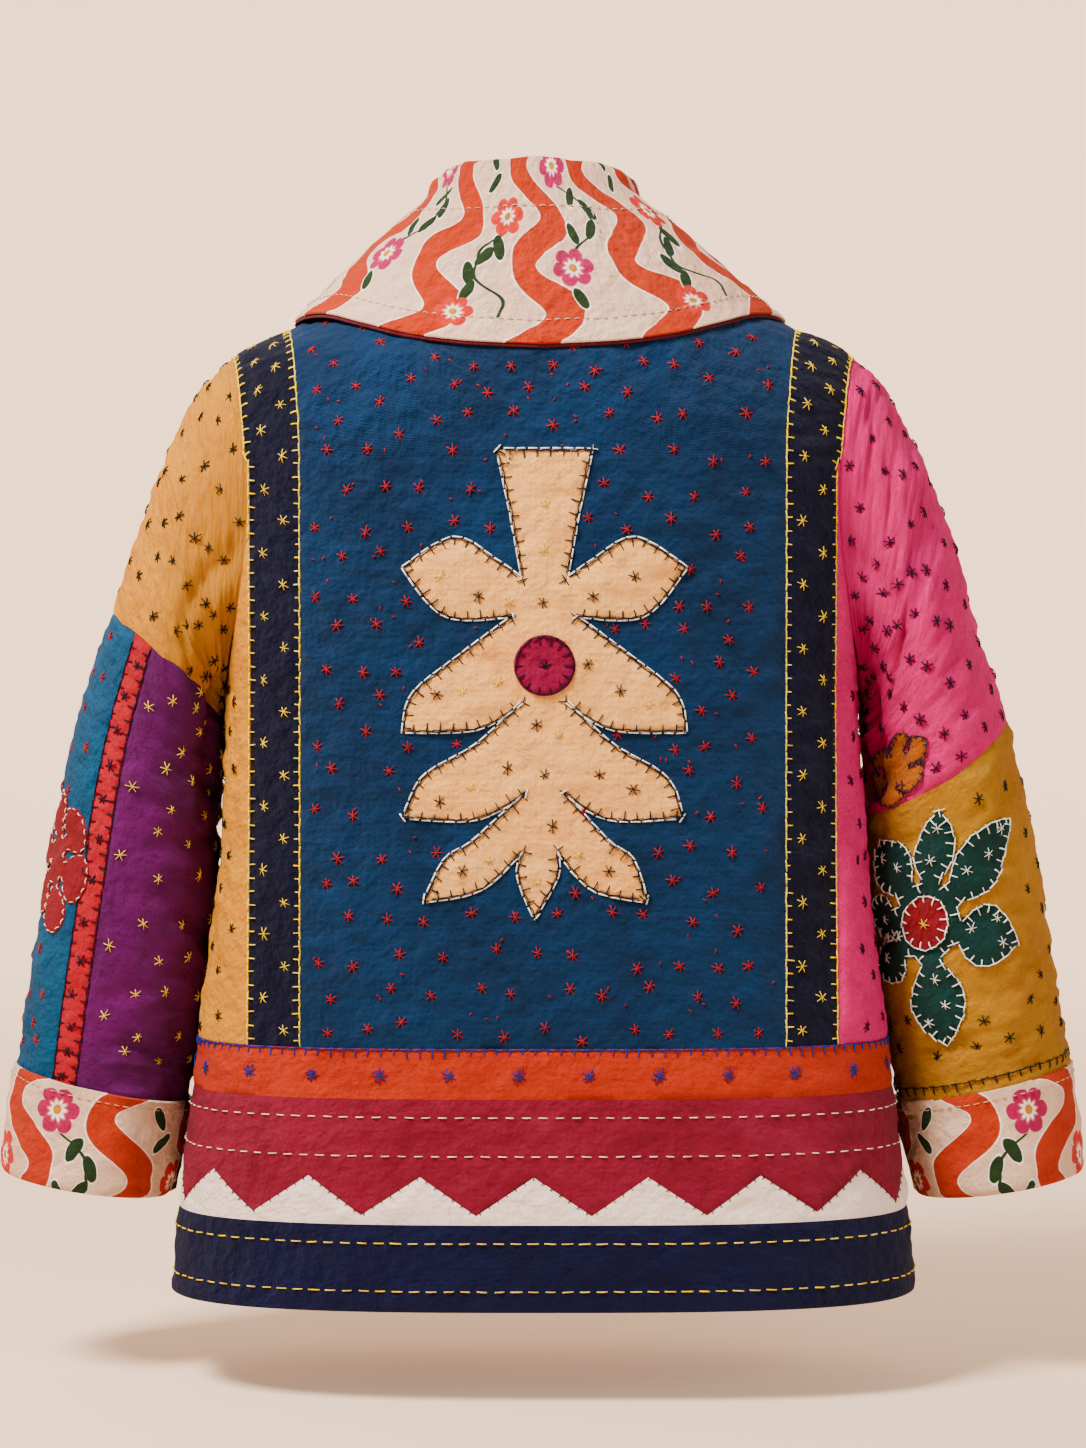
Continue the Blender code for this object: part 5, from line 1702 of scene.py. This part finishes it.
# %% Stars on each panel
def staggered(wide, high, step, seed, loose=0.22):
    """Places in staggered rows between limits, each a little out of line."""
    rng = np.random.default_rng(seed)
    out = []
    for row, v in enumerate(np.arange(high[0] + step * 0.4, high[1] - step * 0.25, step * 0.82)):
        for u in np.arange(wide[0] + step * (0.35 + 0.5 * (row % 2)), wide[1] - step * 0.2, step):
            out.append((u + rng.uniform(-loose, loose) * step, v + rng.uniform(-loose, loose) * step))
    return np.array(out)


def q_of(v):
    """Height coordinate of a place that many metres up the cloth."""
    return np.where(v < ROUND_FROM, v, ROUND_FROM + (v - ROUND_FROM) / 0.19)


def body_stars(flat, face, side=1):
    points = body(flat[:, 0], q_of(flat[:, 1]), face)
    return mirrored(points, side), mirrored(body_normals(points), side)


def arm_stars(side, start, stop, table, low, high, step, seed, way=1):
    """Stars on a sleeve between two angles, below or above a seam."""
    wide = (math.radians(start) * SLEEVE_U, math.radians(stop) * SLEEVE_U)
    flat = staggered(wide, (low * RING_STEP, high * RING_STEP), step, seed)
    a, k = np.degrees(flat[:, 0] / SLEEVE_U), flat[:, 1] / RING_STEP
    border = np.interp(a % 360, [r[0] for r in table], [r[1] for r in table])
    keep = (k - border) * way > 0.12
    return worn(a[keep], k[keep], side)


def clear_of(points, normals, middle, reach):
    keep = np.linalg.norm(points - middle, axis=1) > reach
    return points[keep], normals[keep]


back = staggered((-0.150, 0.150), (WAIST, 0.70), 0.0275, 101, 0.24)
back = back[~inside(back, shorter([(1.05 * x, 0.39 + 1.03 * (z - 0.39)) for x, z in SPRAY], 0.01))]
maroon = singly(*body_stars(back, -1), BODY_CLOTH)
dark, navy, yellow = [], [], []
for side in (-1, 1):
    flat = staggered((FRONT_GAP, 0.150), (WAIST, 0.68), 0.0270, 110 + side, 0.24)
    maroon += singly(*body_stars(flat, 1, side), BODY_CLOTH)
    q = np.arange(WAIST + 0.010, 0.70, 0.0200)
    for face in (-1, 1):
        swing = np.where(np.arange(len(q)) % 2 == 0, -0.0068, 0.0064)
        middle = (smooth(STRIP, q_of(q)) + outer_column(q_of(q))) / 2
        yellow += singly(*body_stars(np.stack([middle + swing, q], -1), face, side), BODY_CLOTH)
    turns = staggered((0, 0.155), (WAIST, 0.53), 0.0320, 120 + side)
    reach = turn_of(STRIP_OUTER, turns[:, 1])
    angle = reach + 6 + turns[:, 0] / 0.155 * (180 - 2 * reach - 12)
    points = flank(angle, turns[:, 1], 1)
    hole = np.minimum(armhole_turn(turns[:, 1], -1), 180)
    keep = (turns[:, 1] < ARMPIT) | (angle < hole - 6) | (180 - angle < armhole_turn(turns[:, 1], 1) - 6)
    found = singly(mirrored(points[keep], side), mirrored(body_normals(points[keep]), side), BODY_CLOTH)
    dark += found if side < 0 else []
    navy += found if side > 0 else []
dark += singly(*arm_stars(-1, 180, 540, SEAM_LEFT, 0.25, 4.2, 0.0330, 131, -1), LEFT_ARM)
navy += singly(*arm_stars(1, 180, 540, SEAM_RIGHT, 0.25, 5.3, 0.0330, 132, -1), RIGHT_CLOTH)
maroon += singly(*arm_stars(-1, 268, 419, SEAM_LEFT, 3.5, 8.9, 0.0320, 133), LEFT_ARM)
k = np.arange(4.1, 8.9, 0.40)
navy += singly(*worn(71 + 1.6 * np.cos(2.4 * np.arange(len(k))), k, -1), LEFT_ARM)
yellow += singly(*arm_stars(-1, 84, 262, SEAM_LEFT, 2.5, 8.9, 0.0345, 135), LEFT_ARM)
points, normals = arm_stars(1, -3, 178, SEAM_RIGHT, 5.1, 8.7, 0.0335, 136)
points, normals = clear_of(points, normals, ON_GREEN([(0, 0)])[0][0], 0.068)
dark += singly(points, normals, RIGHT_CLOTH)
yellow += singly(*arm_stars(1, 184, 352, SEAM_RIGHT, 5.1, 8.8, 0.0335, 137), RIGHT_CLOTH)
sew("maroon_stars", "star_six", "maroon", maroon, turn=1.2, seed=21)
sew("dark_stars", "star_six", "dark", dark, turn=1.2, seed=22)
sew("navy_stars", "star_six", "navy", navy, turn=1.2, seed=23)
s = np.arange(-0.0155 - 0.0452 * 13, BAND_END, 0.0452)
s = s[np.abs(s) < BAND_END - 0.012]
points = band_point(s, 0.1458 + 0 * s)
sew("blue_stars", "star_eight", "blue", singly(points, body_normals(points), BAND_CLOTH), turn=0.3, seed=24)

# %% Stars on the appliqués
DARK_ON_SPRAY = (
    (0.000, 0.4400),
    (0.031, 0.4440),
    (0.057, 0.4560),
    (-0.040, 0.4440),
    (0.028, 0.4020),
    (0.048, 0.3850),
    (-0.066, 0.3830),
    (-0.004, 0.3640),
    (-0.022, 0.3370),
    (0.001, 0.3330),
    (0.035, 0.3330),
    (0.056, 0.3240),
    (-0.064, 0.3160),
    (0.006, 0.3010),
    (-0.050, 0.2730),
    (0.041, 0.2730),
)
YELLOW_ON_SPRAY = (
    (0.001, 0.5010),
    (0.000, 0.4730),
    (-0.064, 0.4570),
    (-0.021, 0.4410),
    (-0.028, 0.3910),
    (-0.050, 0.3850),
    (0.066, 0.3770),
    (0.010, 0.3580),
    (-0.045, 0.3250),
    (-0.034, 0.2800),
    (0.022, 0.2840),
    (-0.005, 0.2660),
)
ON_FLOWER = (
    (0.010, 0.040),
    (0.018, 0.061),
    (0.036, 0.026),
    (0.055, 0.031),
    (0.068, 0.043),
    (0.034, -0.010),
    (0.055, -0.024),
    (0.054, -0.008),
    (0.003, -0.040),
    (0.008, -0.060),
    (-0.006, -0.072),
    (-0.017, 0.042),
    (-0.030, 0.052),
    (-0.036, 0.008),
    (-0.036, -0.020),
)
spray_top = ground("leaf_spray")
dark_places = singly(*on_back(DARK_ON_SPRAY), spray_top)
dark_places += singly(*on_back([(SPRAY_X, DISC_HEIGHT)]), ground("spray_disc"))
sew("spray_dark_stars", "star_six", "navy", dark_places, turn=1.2, seed=25)
yellow += singly(*on_back(YELLOW_ON_SPRAY), spray_top) + singly(*ON_GREEN([(0, 0)]), ground("flower_disc"))
sew("yellow_stars", "star_fine", "yellow", yellow, turn=1.2, seed=26)
sew("white_stars", "star_fine", "white", singly(*ON_GREEN(ON_FLOWER), FLOWER_CLOTH), turn=1.2, seed=27)
rng = np.random.default_rng(7)
bits = np.stack([rng.uniform(-0.145, 0.145, 130), rng.uniform(WAIST + 0.01, 0.62, 130)], -1)
bits = bits[~inside(bits, SPRAY)]
sew("red_bits", "knot", "maroon", singly(*body_stars(bits, -1), BODY_CLOTH), turn=3.0, seed=28)
for ob in STITCHES.values():
    bpy.data.objects.remove(ob, do_unlink=True)

# %% [markdown]
# ## Floor, light and camera
# The photograph looks straight at the back, from about two metres. Large soft lights flatten the
# shadows as a photographer's tent does. The paper under and behind the jacket glows as painted light,
# brighter towards the back.

# %% Stage
PAPER = (0.72, 0.52, 0.37, 1.0)
PAPER_GLOW = (1.0, 0.70, 0.475, 1.0)
FLOOR_HEIGHT = -MOUNT_HEIGHT - 0.06


def stage():
    """A sheet of paper that lies under the jacket and curves up behind it; it glows as painted light."""
    bend = [(math.radians(t), 1.5) for t in range(0, 91, 6)]
    profile = [(-4.5, 0.0), (-0.6, 0.0), (1.6, 0.0)]
    profile += [(3.0 + r * math.sin(t), r - r * math.cos(t)) for t, r in bend] + [(4.5, 7.0)]
    verts = [(x, y, z + FLOOR_HEIGHT) for y, z in profile for x in (-8.0, 8.0)]
    faces = [(2 * i, 2 * i + 1, 2 * i + 3, 2 * i + 2) for i in range(len(profile) - 1)]
    mesh = bpy.data.meshes.new("floor")
    mesh.from_pydata(verts, [], faces)
    mesh.polygons.foreach_set("use_smooth", np.ones(len(faces), bool))
    floor = bpy.data.objects.new("floor", mesh)
    bpy.context.scene.collection.objects.link(floor)
    plain = bpy.data.materials.new("glowing_paper")
    plain.use_nodes = True
    tree = plain.node_tree
    shader = tree.nodes["Principled BSDF"]
    shader.inputs["Base Color"].default_value = PAPER
    shader.inputs["Roughness"].default_value = 0.95
    shader.inputs["Specular IOR Level"].default_value = 0.0
    # Painted light: the paper glows, dim on the floor in front and brightest on the far floor and the wall
    # behind.
    shader.inputs["Emission Color"].default_value = PAPER_GLOW
    where = node(tree, "ShaderNodeTexCoord").outputs["Object"]
    split = node(tree, "ShaderNodeSeparateXYZ")
    tree.links.new(where, split.inputs[0])
    ramp = {"From Min": -0.5, "From Max": 4.0, "To Min": 0.12, "To Max": 2.02}
    glow = node(tree, "ShaderNodeMapRange", ramp)
    tree.links.new(split.outputs["Y"], glow.inputs["Value"])
    tree.links.new(glow.outputs["Result"], shader.inputs["Emission Strength"])
    mesh.materials.append(plain)
    world = bpy.data.worlds.new("plain_world")
    world.use_nodes = True
    world.node_tree.nodes["Background"].inputs["Color"].default_value = (1.0, 0.93, 0.86, 1.0)
    world.node_tree.nodes["Background"].inputs["Strength"].default_value = 0.40
    bpy.context.scene.world = world


def lamp(name, place, size, power, colour=(1, 1, 1)):
    light = bpy.data.lights.new(name, "AREA")
    light.shape, light.size, light.size_y = "RECTANGLE", size[0], size[1]
    light.energy, light.color = power, colour
    ob = bpy.data.objects.new(name, light)
    ob.location = place
    ob.rotation_euler = (Vector((0, 0, -0.25)) - Vector(place)).to_track_quat("-Z", "Y").to_euler()
    bpy.context.scene.collection.objects.link(ob)


stage()
lamp("key", (-0.9, -1.0, 1.25), (0.6, 0.6), 138.0, (1.0, 0.96, 0.91))
lamp("fill", (1.9, -1.5, 0.3), (1.2, 1.2), 36.0)

camera = bpy.data.cameras.new("camera")
camera.lens, camera.sensor_width = 84.2, 36.0
seen_from = bpy.data.objects.new("camera", camera)
seen_from.location = (0, -2.23, 0.3646 - MOUNT_HEIGHT)
seen_from.rotation_euler = (math.pi / 2, 0, 0)
bpy.context.scene.collection.objects.link(seen_from)
bpy.context.scene.camera = seen_from
